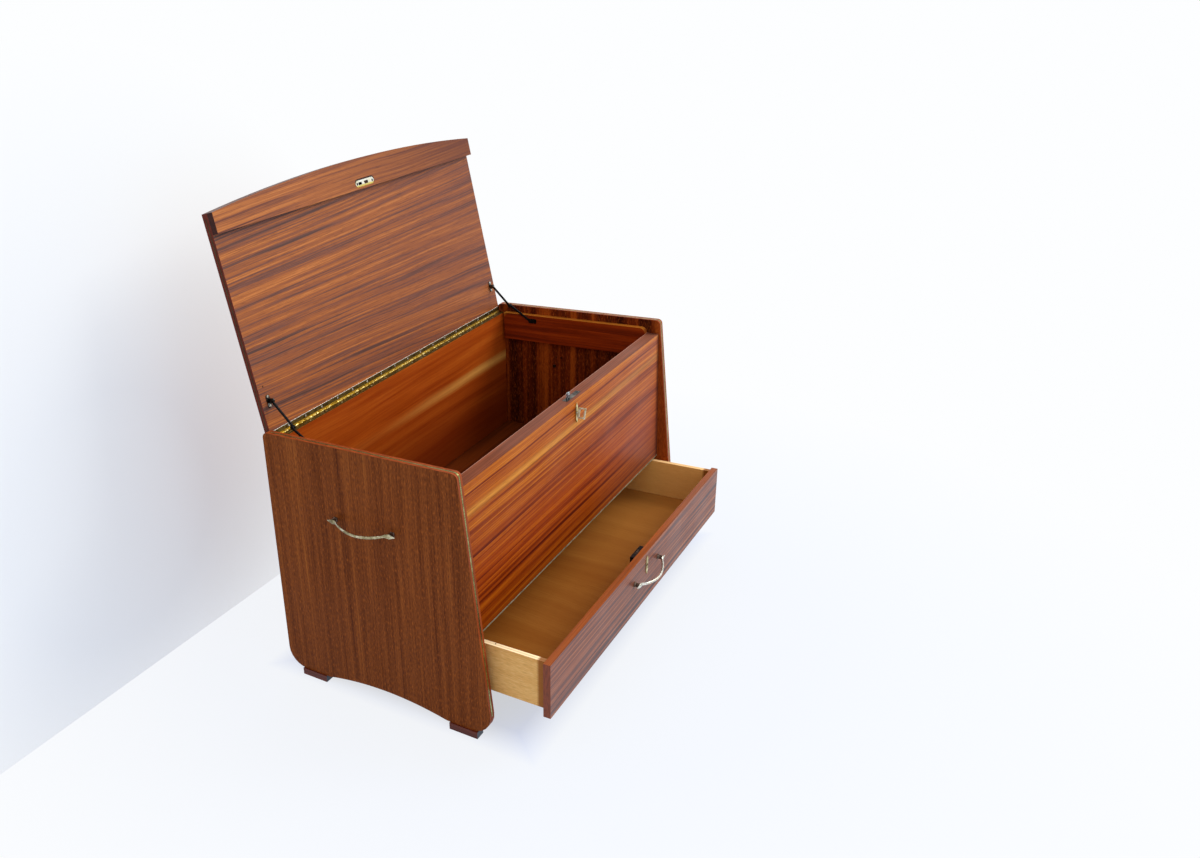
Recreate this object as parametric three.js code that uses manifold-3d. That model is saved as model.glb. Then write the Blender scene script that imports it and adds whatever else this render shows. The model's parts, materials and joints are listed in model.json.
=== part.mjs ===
// Mule chest: a chest with a lift-up lid over one drawer, with folding lid stays and box locks.
// Millimetres, +Z up, the front faces -Y and +X is the viewer's right.
// It is shown as it stands in use: lid leaning back on its stays, drawer part way out, key in the lock.
import * as THREE from 'three';
import { mergeVertices } from 'three/addons/utils/BufferGeometryUtils.js';
import Module from 'manifold-3d';

const wasm = await Module();
wasm.setup();

// Fits shared by every piece
const seam = 0.3;                        // hairline between a piece and the neighbour it is cut for
const running_gap = 0.4;                 // between faces that slide or turn past each other
const overrun = 2;                       // how far a cut runs past the face it opens
const round_sides = 12;                  // facets of a small round piece
const corner_steps = 6;                  // facets of a rounded corner

// Side panels, their shaped feet and their edge inlay
const carcass_width = 900;
const side_thickness = 15;
const side_top = 517;
const side_depth_top = 408;
const front_slope_share = 0.1025;        // how far the front edge runs forward for each unit of drop
const top_corner_radius = 10;
const bottom_corner_radius = 39;
const foot_height = 14;
const foot_length = 58;
const foot_proud = 3;
const rear_foot_start = 33;
const front_foot_setback = 30;
const arch_end_gap = 7;
const arch_rise = 15;
const arch_steps = 14;
const inlay_width = 3.2;
const inlay_depth = 2;
const inlay_rear_start = 14;

// Lid, the lip under its front edge and the levels that the closed lid sets
const lid_thickness = 13;
const lid_sink = 3.5;                    // closed lid's top below the top of the sides
const lid_side_gap = 2.3;
const lid_overhang = 12.5;               // lid's ends in front of the top of the sides
const lid_bow = 22.4;
const lid_bow_steps = 20;
const lid_rear_gap = 3;                  // from the hinge axis to the rear edge
const lip_thickness = 12.7;
const lip_setback = 3;                   // lip's rear edge in front of the front panel's rear face
const closing_gap = 0.5;
const lid_open_angle = THREE.MathUtils.degToRad(101.9);

// Piano hinge
const hinge_setback = 7;                 // axis in front of the rear edge of the sides
const knuckle_radius = 2.6;
const hinge_pin_radius = 1.1;
const hinge_leaf_thickness = 1.2;
const hinge_leaf_width = 9.5;
const hinge_end_gap = 1.5;
const knuckle_pitch = 54;
const fewest_knuckles = 3;

// Back, front and the floor between chest and drawer
const back_thickness = 10;
const back_bottom = 40;
const front_thickness = 27;
const front_setback = 4;                 // top of the front panel behind the front edge of the sides
const front_lean_share = 0.0272;         // how far the front panel runs forward for each unit of drop
const strip_height = 3;
const strip_depth = 4;
const rail_height = 14;
const front_rail_depth = 30;
const back_rail_depth = 14;
const bearer_width = 20;
const floor_thickness = 6;
const cleat_thickness = 14;
const cleat_height = 64;
const cleat_nose_radius = 13;
const cleat_rear_gap = 5;

// Drawer and its runners
const drawer_front_bottom = 79;
const drawer_front_height = 109;
const drawer_front_thickness = 13.5;
const drawer_front_side_gap = 7.5;
const drawer_reveal = 2;
const drawer_pull = 145;                 // how far out the drawer stands
const drawer_depth = 380;
const drawer_side_gap = 15;              // side panel to drawer side, filled by the runner's guide
const drawer_side_thickness = 10;
const drawer_side_lift = 12;
const drawer_side_drop = 1.5;
const drawer_back_thickness = 10;
const drawer_back_drop = 6;
const drawer_bottom_thickness = 5;
const drawer_bottom_lift = 5;
const drawer_groove_depth = 5;
const runner_height = 20;
const runner_shelf = 25;
const runner_guide_height = 12;
const runner_front_gap = 1.5;

// Bow handles and their screws
const handle_centres = 122;
const handle_tip = 12;                   // how far each end runs past its post
const handle_projection = 33;
const handle_post_height = 15;
const handle_post_radius = 4;
const handle_bar_height = 6;
const handle_flare_height = 14;
const handle_flare_length = 22;
const handle_bar_thickness = 4;
const handle_arc_steps = 14;
const side_handle_level = 376;
const side_handle_setback = 213;         // handle centre in front of the rear edge
const drawer_handle_level = 147;
const screw_shank_radius = 2;
const screw_head_radius = 4;
const screw_head_height = 2.2;
const screw_grip = 9;                    // how far a screw runs into a handle post

// Locks, key and their plates
const lock_offset = 8;                   // lock plate centre to the right of the chest's centre
const lock_plate_width = 62;
const lock_plate_depth = 11;
const lock_plate_thickness = 1.5;
const lock_setback = 13;                 // lock plate centre behind the front panel's front face
const lock_case_width = 50;
const lock_case_depth = 9;
const lock_case_height = 42;
const hook_offset = -16;                 // from the lock plate's centre
const hook_width = 10;
const hook_thickness = 3.5;
const hook_lift = 13;
const hook_tail = 8;
const hook_slot_gap = 0.6;
const striker_depth = 13;
const striker_slot_offset = 4.5;
const striker_slot_width = 13;
const striker_slot_height = 6;
const striker_mortise_gap = 2;
const striker_screw_centres = 52;
const striker_screw_radius = 1.4;
const striker_screw_head_radius = 2.6;
const striker_screw_length = 9;
const key_offset = -8;                   // keyhole from the lock plate's centre
const key_drop = 29;                     // keyhole below the front panel's top
const key_shank_radius = 2.2;
const key_shank_show = 9;
const key_bow_depth = 20;
const key_bow_height = 22;
const key_bow_wire = 3;
const key_bow_thickness = 2.6;
const key_bit_length = 5;
const key_bit_width = 2.4;
const key_chamber_radius = 9;
const key_chamber_floor = 1.5;
const keyhole_radius = 3.2;
const keyhole_slot_width = 3;
const keyhole_slot_drop = 8.5;
const escutcheon_height = 41;
const escutcheon_width = 8;
const escutcheon_thickness = 1.5;
const drawer_lock_offset = -6;
const drawer_lock_width = 51;
const drawer_lock_height = 32;
const drawer_lock_depth = 9;
const drawer_lock_drop = 1;
const drawer_keyhole_offset = 6;         // keyhole from the drawer lock's centre
const drawer_keyhole_drop = 28;
const bolt_width = 20;
const bolt_thickness = 4;
const bolt_height = 18;
const bolt_throw = 6;
const bolt_mortise_gap = 1.5;

// Folding stays
const stay_lid_reach = 66;               // hinge axis to the lid pivot, along the lid
const stay_lid_drop = 8;                 // lid underside down to the lid pivot
const stay_wall_reach = 90;              // hinge axis forward to the wall pivot
const stay_wall_drop = 12;               // hinge axis down to the wall pivot
const stay_slack_share = 0.005;          // spare length of the open stay
const stay_arm_thickness = 2.5;
const stay_arm_width = 4.4;
const stay_eye_radius = 4.2;
const stay_pin_radius = 2.2;
const stay_head_radius = 3.4;
const stay_head_height = 0.7;
const stay_plate_thickness = 2;
const stay_plate_height = 10;
const stay_plate_length = 19;
const stay_lid_plate_length = 25;
const stay_lid_plate_thickness = 1.4;
const stay_ear_width = 8.4;

// Levels and places that follow from the sizes above
const side_outer = carcass_width / 2;
const side_inner = side_outer - side_thickness;
const lid_underside = side_top - lid_sink - lid_thickness;
const hinge_axis_y = -hinge_setback;
const hinge_axis_z = lid_underside - seam - hinge_leaf_thickness;
const lid_reach = side_depth_top + lid_overhang - hinge_setback;
const leaf_top = hinge_axis_z - seam;
const back_top = leaf_top - hinge_leaf_thickness;
const back_rear = hinge_axis_y - lid_rear_gap;
const back_front = back_rear - back_thickness;
const cleat_top = lid_underside - closing_gap;
const lip_bottom = lid_underside - seam - lip_thickness;
const front_top = lip_bottom - closing_gap;
const front_top_y = sideFront(front_top) + front_setback;
const drawer_front_top = drawer_front_bottom + drawer_front_height;
const front_bottom = drawer_front_top + drawer_reveal;
const drawer_closed_y = frontFace(front_bottom);
const rail_top = front_bottom + rail_height;
const floor_top = rail_top + floor_thickness;
const inner_front = frontFace(rail_top) + front_thickness + seam;
const lock_line_y = front_top_y + lock_setback;
const key_level = front_top - key_drop;
const lid_half_width = side_inner - lid_side_gap;
const cleat_inner = side_inner - cleat_thickness;
const handle_length = handle_centres + 2 * handle_tip;
const drawer_side_bottom = drawer_front_bottom + drawer_side_lift;
const runner_top = drawer_side_bottom - running_gap;

// The front edge of the sides at a level
function sideFront(level) {
  return -(side_depth_top + (side_top - level) * front_slope_share);
}

// The front face of the front panel at a level
function frontFace(level) {
  return front_top_y - (front_top - level) * front_lean_share;
}

// A closed mesh as a solid that can be cut and joined
function toSolid(geometry) {
  const bare = geometry.clone();
  bare.deleteAttribute('normal');
  bare.deleteAttribute('uv');
  const merged = mergeVertices(bare);
  return new wasm.Manifold(new wasm.Mesh({
    numProp: 3,
    vertProperties: new Float32Array(merged.attributes.position.array),
    triVerts: new Uint32Array(merged.index.array),
  }));
}

// A cut or joined solid as a mesh geometry
function toGeometry(solid) {
  const mesh = solid.getMesh();
  const geometry = new THREE.BufferGeometry();
  geometry.setAttribute('position', new THREE.BufferAttribute(new Float32Array(mesh.vertProperties), 3));
  geometry.setIndex(new THREE.BufferAttribute(new Uint32Array(mesh.triVerts), 1));
  geometry.computeVertexNormals();
  return geometry;
}

function cut(geometry, ...tools) {
  let solid = toSolid(geometry);
  for (const tool of tools) {
    solid = solid.subtract(toSolid(tool));
  }
  return toGeometry(solid);
}

function join(geometry, ...others) {
  let solid = toSolid(geometry);
  for (const other of others) {
    solid = solid.add(toSolid(other));
  }
  return toGeometry(solid);
}

function common(geometry, other) {
  return toGeometry(toSolid(geometry).intersect(toSolid(other)));
}

// A box between two corners, given in any order
function block(x_a, x_b, y_a, y_b, z_a, z_b) {
  const box = new THREE.BoxGeometry(Math.abs(x_b - x_a), Math.abs(y_b - y_a), Math.abs(z_b - z_a));
  box.translate((x_a + x_b) / 2, (y_a + y_b) / 2, (z_a + z_b) / 2);
  return box;
}

// An outline in the (y, z) plane, extruded along X
function plateX(shape, x_a, x_b) {
  const plate = new THREE.ExtrudeGeometry(shape, { depth: Math.abs(x_b - x_a), bevelEnabled: false });
  const turn = new THREE.Matrix4().makeBasis(
    new THREE.Vector3(0, 1, 0), new THREE.Vector3(0, 0, 1), new THREE.Vector3(1, 0, 0));
  plate.applyMatrix4(turn);
  plate.translate(Math.min(x_a, x_b), 0, 0);
  return plate;
}

// An outline in the (x, z) plane, extruded along Y
function plateY(shape, y_a, y_b) {
  const plate = new THREE.ExtrudeGeometry(shape, { depth: Math.abs(y_b - y_a), bevelEnabled: false });
  plate.rotateX(Math.PI / 2);
  plate.translate(0, Math.max(y_a, y_b), 0);
  return plate;
}

// An outline in the (x, y) plane, extruded along Z
function plateZ(shape, z_a, z_b) {
  const plate = new THREE.ExtrudeGeometry(shape, { depth: Math.abs(z_b - z_a), bevelEnabled: false });
  plate.translate(0, 0, Math.min(z_a, z_b));
  return plate;
}

function outline(points) {
  return new THREE.Shape(points.map(([a, b]) => new THREE.Vector2(a, b)));
}

function rodX(radius, x_a, x_b, y, z, sides = round_sides) {
  const rod = new THREE.CylinderGeometry(radius, radius, Math.abs(x_b - x_a), sides);
  rod.rotateZ(Math.PI / 2);
  rod.translate((x_a + x_b) / 2, y, z);
  return rod;
}

function rodY(radius, y_a, y_b, x, z, sides = round_sides) {
  const rod = new THREE.CylinderGeometry(radius, radius, Math.abs(y_b - y_a), sides);
  rod.translate(x, (y_a + y_b) / 2, z);
  return rod;
}

function rodZ(radius, z_a, z_b, x, y, sides = round_sides) {
  const rod = new THREE.CylinderGeometry(radius, radius, Math.abs(z_b - z_a), sides);
  rod.rotateX(Math.PI / 2);
  rod.translate(x, y, (z_a + z_b) / 2);
  return rod;
}

// Points of a rounded corner between two straight edges
function roundedCorner(before, corner, after, radius) {
  const at = new THREE.Vector2(...corner);
  const back = new THREE.Vector2(...before).sub(at).normalize();
  const ahead = new THREE.Vector2(...after).sub(at).normalize();
  const half = Math.acos(back.dot(ahead)) / 2;
  const centre = back.clone().add(ahead).normalize().multiplyScalar(radius / Math.sin(half)).add(at);
  const start = back.clone().multiplyScalar(radius / Math.tan(half)).add(at).sub(centre);
  const end = ahead.clone().multiplyScalar(radius / Math.tan(half)).add(at).sub(centre);
  const sweep = Math.atan2(start.x * end.y - start.y * end.x, start.dot(end));
  const points = [];
  for (let step = 0; step <= corner_steps; step += 1) {
    const spoke = start.clone().rotateAround(new THREE.Vector2(), sweep * step / corner_steps);
    points.push([centre.x + spoke.x, centre.y + spoke.y]);
  }
  return points;
}

// Materials
const materials = {
  side_veneer: new THREE.MeshStandardMaterial({ color: 0x6b3a22, roughness: 0.4 }),
  front_veneer: new THREE.MeshStandardMaterial({ color: 0xa8582b, roughness: 0.35 }),
  lid_veneer: new THREE.MeshStandardMaterial({ color: 0xa05c38, roughness: 0.35 }),
  inner_veneer: new THREE.MeshStandardMaterial({ color: 0x8f4a1c, roughness: 0.45 }),
  dark_wood: new THREE.MeshStandardMaterial({ color: 0x4a241c, roughness: 0.4 }),
  drawer_veneer: new THREE.MeshStandardMaterial({ color: 0x7e4a3c, roughness: 0.35 }),
  pale_wood: new THREE.MeshStandardMaterial({ color: 0xc59a62, roughness: 0.6 }),
  plywood: new THREE.MeshStandardMaterial({ color: 0x8a5a28, roughness: 0.6 }),
  inlay_metal: new THREE.MeshStandardMaterial({ color: 0x8f9468, roughness: 0.35, metalness: 0.8 }),
  brass: new THREE.MeshStandardMaterial({ color: 0xc8a830, roughness: 0.35, metalness: 0.9 }),
  nickel: new THREE.MeshStandardMaterial({ color: 0xc9c7ad, roughness: 0.25, metalness: 0.9 }),
  pale_brass: new THREE.MeshStandardMaterial({ color: 0xb9ad78, roughness: 0.35, metalness: 0.9 }),
  lock_steel: new THREE.MeshStandardMaterial({ color: 0x5f6a62, roughness: 0.4, metalness: 0.9 }),
  black_steel: new THREE.MeshStandardMaterial({ color: 0x1b1a1a, roughness: 0.5, metalness: 0.6 }),
};

function piece(parent, name, geometry, material) {
  const mesh = new THREE.Mesh(geometry, materials[material]);
  mesh.name = name;
  parent.add(mesh);
  return mesh;
}

function subassembly(parent, x, y, z) {
  const group = new THREE.Group();
  group.position.set(x, y, z);
  parent.add(group);
  return group;
}

// The side panel's outline, drawn in from its edges by an inset
function sideOutline(inset) {
  const top = side_top - inset;
  const bottom = foot_height + inset;
  const rear = -inset;
  const front_top_corner = [sideFront(top) + inset, top];
  const front_bottom_corner = [sideFront(bottom) + inset, bottom];
  const arch_rear = -(rear_foot_start + foot_length + arch_end_gap);
  const arch_front = sideFront(foot_height) + front_foot_setback + foot_length + arch_end_gap;
  const arch_middle = (arch_rear + arch_front) / 2;
  const arch_half = (arch_rear - arch_front) / 2;
  const points = [
    ...roundedCorner([rear, bottom], [rear, top], front_top_corner, top_corner_radius - inset),
    ...roundedCorner([rear, top], front_top_corner, front_bottom_corner, top_corner_radius - inset),
    ...roundedCorner(front_top_corner, front_bottom_corner, [rear, bottom], bottom_corner_radius - inset),
  ];
  for (let step = 0; step <= arch_steps; step += 1) {
    const along_share = 2 * step / arch_steps - 1;
    points.push([arch_middle + arch_half * along_share, bottom + arch_rise * (1 - along_share ** 2)]);
  }
  points.push(
    ...roundedCorner(front_bottom_corner, [rear, bottom], [rear, top], bottom_corner_radius - inset));
  return outline(points.reverse());
}

// The top and front stretch that the inlay follows, as a region to keep
function inlayRegion(margin) {
  const inner = top_corner_radius + inlay_depth;
  const low = foot_height + bottom_corner_radius - margin;
  const high = side_top + overrun;
  const rear = -(inlay_rear_start - margin);
  return outline([
    [rear, high],
    [sideFront(high) - overrun, high],
    [sideFront(low) - overrun, low],
    [sideFront(low) + inner, low],
    [sideFront(side_top - inner) + inner, side_top - inner],
    [rear, side_top - inner],
  ]);
}

function inlayBand(centre, half_width, outset, depth, margin) {
  const band = cut(
    plateX(sideOutline(-outset), centre - half_width, centre + half_width),
    plateX(sideOutline(depth), centre - half_width - overrun, centre + half_width + overrun));
  return common(band, plateX(inlayRegion(margin), centre - side_thickness, centre + side_thickness));
}

// Both side panels with their inlay strips and feet
function addSides(parent) {
  for (const [word, sign] of [['left', -1], ['right', 1]]) {
    const middle = sign * (side_outer - side_thickness / 2);
    const board = plateX(sideOutline(0), sign * side_inner, sign * side_outer);
    const strip_half = inlay_width / 2;
    const groove = inlayBand(middle, strip_half + seam, overrun, inlay_depth + seam, seam);
    const panel = cut(board, groove, ...handleHoles(sign));
    piece(parent, `${word}_side_panel`, panel, 'side_veneer');
    const strip = inlayBand(middle, strip_half, 0, inlay_depth, 0);
    piece(parent, `${word}_edge_inlay`, strip, 'inlay_metal');
    const rear_y = -rear_foot_start - foot_length / 2;
    const front_y = sideFront(foot_height) + front_foot_setback + foot_length / 2;
    for (const [end, y] of [['rear', rear_y], ['front', front_y]]) {
      const half = side_thickness / 2 + foot_proud;
      const block_shape = block(-half, half, -foot_length / 2, foot_length / 2, 0, foot_height);
      piece(parent, `${end}_${word}_foot`, block_shape, 'dark_wood').position.set(middle, y, 0);
    }
  }
}

// Screw holes for a side handle
function handleHoles(sign) {
  const holes = [];
  for (const end of [-1, 1]) {
    const y = -side_handle_setback + end * handle_centres / 2;
    holes.push(rodX(screw_shank_radius + seam, sign * (side_inner - overrun), sign * (side_outer + overrun),
      y, side_handle_level));
  }
  return holes;
}

// Back board, front board with its metal edge strip, and the rails that carry the floor
function addBoards(parent) {
  piece(parent, 'back_panel',
    block(-side_inner, side_inner, back_front, back_rear, back_bottom, back_top), 'inner_veneer');
  const foot_y = frontFace(front_bottom);
  const strip_back = foot_y + strip_depth;
  const strip_top = front_bottom + strip_height;
  const front_shape = outline([
    [front_top_y, front_top],
    [frontFace(strip_top + seam), strip_top + seam],
    [strip_back + seam, strip_top + seam],
    [strip_back + seam, front_bottom],
    [foot_y + front_thickness, front_bottom],
    [front_top_y + front_thickness, front_top],
  ]);
  piece(parent, 'front_panel', cut(plateX(front_shape, -side_inner, side_inner),
    ...lockRecess(), boltMortise()), 'front_veneer');
  piece(parent, 'front_edge_strip',
    block(-side_inner, side_inner, foot_y, strip_back, front_bottom, strip_top), 'inlay_metal');
  const front_rail_back = inner_front + front_rail_depth;
  const back_rail_front = back_front - back_rail_depth;
  piece(parent, 'floor_front_rail',
    block(-side_inner, side_inner, inner_front, front_rail_back, front_bottom, rail_top), 'pale_wood');
  piece(parent, 'floor_back_rail',
    block(-side_inner, side_inner, back_rail_front, back_front, front_bottom, rail_top), 'pale_wood');
  for (const [word, sign] of [['left', -1], ['right', 1]]) {
    piece(parent, `${word}_floor_bearer`, block(sign * side_inner, sign * (side_inner - bearer_width),
      front_rail_back, back_rail_front, front_bottom, rail_top), 'pale_wood');
  }
  piece(parent, 'chest_floor',
    block(-side_inner, side_inner, inner_front, back_front, rail_top, floor_top), 'inner_veneer');
}

// Recesses that the chest lock, its plate and its key need in the front panel
function lockRecess() {
  const half = lock_plate_width / 2 + seam;
  const plate = block(lock_offset - half, lock_offset + half,
    lock_line_y - lock_plate_depth / 2 - seam, lock_line_y + lock_plate_depth / 2 + seam,
    front_top - lock_plate_thickness, front_top + overrun);
  const case_half = lock_case_width / 2 + seam;
  const pocket = block(lock_offset - case_half, lock_offset + case_half,
    lock_line_y - lock_case_depth / 2 - seam, lock_line_y + lock_case_depth / 2 + seam,
    front_top - lock_plate_thickness - lock_case_height - seam, front_top);
  const key_x = lock_offset + key_offset;
  return [plate, pocket, ...keyhole(key_x, key_level, frontFace(key_level) - overrun, lock_line_y)];
}

// A round hole with a slot under it
function keyhole(x, z, y_a, y_b) {
  const slot_half = keyhole_slot_width / 2;
  return [
    rodY(keyhole_radius, y_a, y_b, x, z),
    block(x - slot_half, x + slot_half, y_a, y_b, z - keyhole_slot_drop, z),
  ];
}

// Where the thrown drawer bolt goes up into the underside of the front panel
function boltMortise() {
  const y = boltLine() + drawer_pull;
  const half = bolt_width / 2 + bolt_mortise_gap;
  return block(drawer_lock_offset - half, drawer_lock_offset + half,
    y - bolt_thickness / 2 - bolt_mortise_gap, y + bolt_thickness / 2 + bolt_mortise_gap,
    front_bottom - overrun, front_bottom + bolt_throw + bolt_mortise_gap);
}

function boltLine() {
  return drawer_closed_y - drawer_pull + drawer_front_thickness + drawer_lock_depth / 2;
}

// The rails inside the sides that the closed lid rests on
function addCleats(parent) {
  const front = front_top_y + front_thickness + seam;
  const bottom = cleat_top - cleat_height;
  const rear = back_front - cleat_rear_gap;
  const lower_front = frontFace(bottom) + front_thickness + seam;
  const nose = roundedCorner(
    [rear, cleat_top], [front, cleat_top], [lower_front, bottom], cleat_nose_radius);
  const shape = outline([[rear, bottom], [rear, cleat_top], ...nose, [lower_front, bottom]].reverse());
  for (const [word, sign] of [['left', -1], ['right', 1]]) {
    piece(parent, `${word}_cleat`, plateX(shape, sign * cleat_inner, sign * side_inner), 'inner_veneer');
  }
}

// Runners that carry and guide the drawer's sides
function addRunners(parent) {
  const front = drawer_closed_y + drawer_front_thickness + runner_front_gap;
  const bottom = runner_top - runner_height;
  const guide = drawer_side_gap - running_gap;
  for (const [word, sign] of [['left', -1], ['right', 1]]) {
    const section = outline([
      [sign * side_inner, bottom],
      [sign * (side_inner - runner_shelf), bottom],
      [sign * (side_inner - runner_shelf), runner_top],
      [sign * (side_inner - guide), runner_top],
      [sign * (side_inner - guide), runner_top + runner_guide_height],
      [sign * side_inner, runner_top + runner_guide_height],
    ]);
    piece(parent, `${word}_drawer_runner`, plateY(section, front, back_front), 'pale_wood');
  }
}

// A bow handle seen from above: x runs along it and y runs out of the face it stands on
function handleGeometry() {
  const half = handle_length / 2;
  const rise = handle_projection - handle_post_height - handle_bar_thickness;
  const outer = [];
  const inner = [];
  for (let step = 0; step <= handle_arc_steps; step += 1) {
    const along_share = 2 * step / handle_arc_steps - 1;
    const out = handle_post_height + rise * (1 - along_share ** 2);
    outer.push([half * along_share, out + handle_bar_thickness]);
    inner.push([half * along_share, out]);
  }
  const band = plateZ(outline([...inner, ...outer.reverse()]), -handle_flare_height, handle_flare_height);
  const flare = handle_flare_height / 2;
  const bar = handle_bar_height / 2;
  const flare_start = half - handle_flare_length;
  const flare_wide = handle_centres / 2;
  const face = outline([
    [-half, 0], [-flare_wide, -flare], [-flare_start, -bar], [flare_start, -bar], [flare_wide, -flare],
    [half, 0], [flare_wide, flare], [flare_start, bar], [-flare_start, bar], [-flare_wide, flare],
  ]);
  let bow = common(band, plateY(face, 0, handle_projection + overrun));
  const wide_share = 2 * flare_wide / handle_length;
  const post_top = handle_post_height + rise * (1 - wide_share ** 2) + handle_bar_thickness / 2;
  for (const end of [-1, 1]) {
    bow = join(bow, rodY(handle_post_radius, 0, post_top, end * flare_wide, 0));
    bow = cut(bow, rodY(screw_shank_radius + seam, -overrun, screw_grip + seam, end * flare_wide, 0));
  }
  return bow;
}

// A handle on a face, with the two screws that come through from behind
function addHandle(parent, name, panel_thickness, position, turn) {
  const group = subassembly(parent, ...position);
  group.rotation.z = turn;
  piece(group, `${name}_handle`, handleGeometry(), 'nickel');
  for (const [word, end] of [['a', -1], ['b', 1]]) {
    const x = end * handle_centres / 2;
    const head_y = -panel_thickness - screw_head_height;
    const shank = rodY(screw_shank_radius, -panel_thickness - screw_head_height / 2, screw_grip, x, 0);
    const screw = join(rodY(screw_head_radius, head_y, -panel_thickness, x, 0), shank);
    piece(group, `${name}_handle_screw_${word}`, screw, 'lock_steel');
  }
}

// The lid, built closed about the hinge axis and then laid back
function addLid(parent) {
  const lid = subassembly(parent, 0, hinge_axis_y, hinge_axis_z);
  lid.rotation.x = -lid_open_angle;
  const underside = lid_underside - hinge_axis_z;
  const lip_top = underside - seam;
  const lip_low = lip_top - lip_thickness;
  const lip_rear = front_top_y + front_thickness - lip_setback - hinge_axis_y;
  const board = plateZ(lidOutline(-lid_rear_gap), underside, underside + lid_thickness);
  piece(lid, 'lid_board', board, 'lid_veneer');
  const line = lock_line_y - hinge_axis_y;
  piece(lid, 'lid_lip', cut(plateZ(lidOutline(lip_rear), lip_low, lip_top),
    ...strikerRecess(line, lip_low)), 'front_veneer');
  addStriker(lid, line, lip_low);
  piece(lid, 'hinge_lid_leaf', hingeLeaf(0, hinge_leaf_thickness, 1), 'brass');
  for (const [word, sign] of [['left', -1], ['right', 1]]) {
    addLidBracket(lid, word, sign, underside);
  }
}

// The lid from above: straight rear edge and ends, bowed front edge
function lidOutline(rear) {
  const points = [[lid_half_width, rear], [-lid_half_width, rear]];
  for (let step = 0; step <= lid_bow_steps; step += 1) {
    const along_share = 2 * step / lid_bow_steps - 1;
    points.push([lid_half_width * along_share, -(lid_reach + lid_bow * (1 - along_share ** 2))]);
  }
  return outline(points);
}

// A plate with round ends, seen from above
function obround(width, depth, x, y) {
  const radius = depth / 2;
  const reach = width / 2 - radius;
  const points = [];
  for (const end of [1, -1]) {
    for (let step = 0; step <= corner_steps; step += 1) {
      const angle = Math.PI * (step / corner_steps - 1 / 2);
      points.push([x + end * (reach + radius * Math.cos(angle)), y + end * radius * Math.sin(angle)]);
    }
  }
  return outline(points);
}

function hookSlot(line, z_a, z_b, gap) {
  const x = lock_offset + hook_offset;
  return block(x - hook_width / 2 - gap, x + hook_width / 2 + gap,
    line - hook_thickness / 2 - gap, line + hook_thickness / 2 + gap, z_a, z_b);
}

// The recess, the hook's mortise and the screw holes under the lip
function strikerRecess(line, face) {
  const bed = face + lock_plate_thickness + seam;
  const recess = plateZ(obround(lock_plate_width + 2 * seam, striker_depth + 2 * seam, lock_offset, line),
    face - overrun, bed);
  const depth = Math.min(hook_lift + closing_gap, lip_thickness + overrun);
  const mortise = hookSlot(line, face, face + depth, striker_mortise_gap);
  const holes = [];
  for (const end of [-1, 1]) {
    holes.push(rodZ(striker_screw_radius + seam, face, bed + striker_screw_length,
      lock_offset + end * striker_screw_centres / 2, line));
  }
  return [recess, mortise, ...holes];
}

// The plate that the lock's hook catches, let in flush under the lip
function addStriker(lid, line, face) {
  const slot_x = lock_offset + striker_slot_offset;
  const plate_top = face + lock_plate_thickness;
  const holes = [];
  for (const [word, end] of [['a', -1], ['b', 1]]) {
    const x = lock_offset + end * striker_screw_centres / 2;
    holes.push(rodZ(striker_screw_head_radius + seam, face - overrun, plate_top + overrun, x, line));
    const shank_low = face + lock_plate_thickness / 2;
    const shank = rodZ(striker_screw_radius, shank_low, plate_top + striker_screw_length, x, line);
    const screw = join(rodZ(striker_screw_head_radius, face, plate_top, x, line), shank);
    piece(lid, `striker_screw_${word}`, screw, 'nickel');
  }
  const plate = plateZ(obround(lock_plate_width, striker_depth, lock_offset, line), face, plate_top);
  const slot = block(slot_x - striker_slot_width / 2, slot_x + striker_slot_width / 2,
    line - striker_slot_height / 2, line + striker_slot_height / 2, face - overrun, plate_top + overrun);
  const catch_slot = hookSlot(line, face - overrun, plate_top + overrun, hook_slot_gap + seam);
  piece(lid, 'striker_plate', cut(plate, slot, catch_slot, ...holes), 'nickel');
}

// One leaf of the piano hinge with every other knuckle, axis along X through the origin
function hingeLeaf(z_a, z_b, first) {
  const half = lid_half_width - hinge_end_gap;
  const count = Math.max(fewest_knuckles, Math.round(2 * half / knuckle_pitch));
  const pitch = 2 * half / count;
  const leaf_front = -lid_rear_gap - hinge_leaf_width;
  let leaf = block(-half, half, leaf_front, -(knuckle_radius + hinge_pin_radius) / 2, z_a, z_b);
  for (let index = 1 - first; index < count; index += 2) {
    const start = -half + index * pitch;
    leaf = join(leaf, rodX(knuckle_radius, start + running_gap, start + pitch - running_gap, 0, 0));
  }
  for (let index = first; index < count; index += 2) {
    const start = -half + index * pitch;
    const room = knuckle_radius + running_gap;
    leaf = cut(leaf, block(start - running_gap, start + pitch + running_gap, -room, room, -room, room));
  }
  return cut(leaf, rodX(hinge_pin_radius + seam, -half - overrun, half + overrun, 0, 0));
}

// The hinge leaf on the back panel and the pin through all the knuckles
function addHinge(parent) {
  const group = subassembly(parent, 0, hinge_axis_y, hinge_axis_z);
  piece(group, 'hinge_back_leaf', hingeLeaf(-seam - hinge_leaf_thickness, -seam, 0), 'brass');
  const half = lid_half_width - hinge_end_gap;
  piece(group, 'hinge_pin', rodX(hinge_pin_radius, -half, half, 0, 0), 'brass');
}

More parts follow.
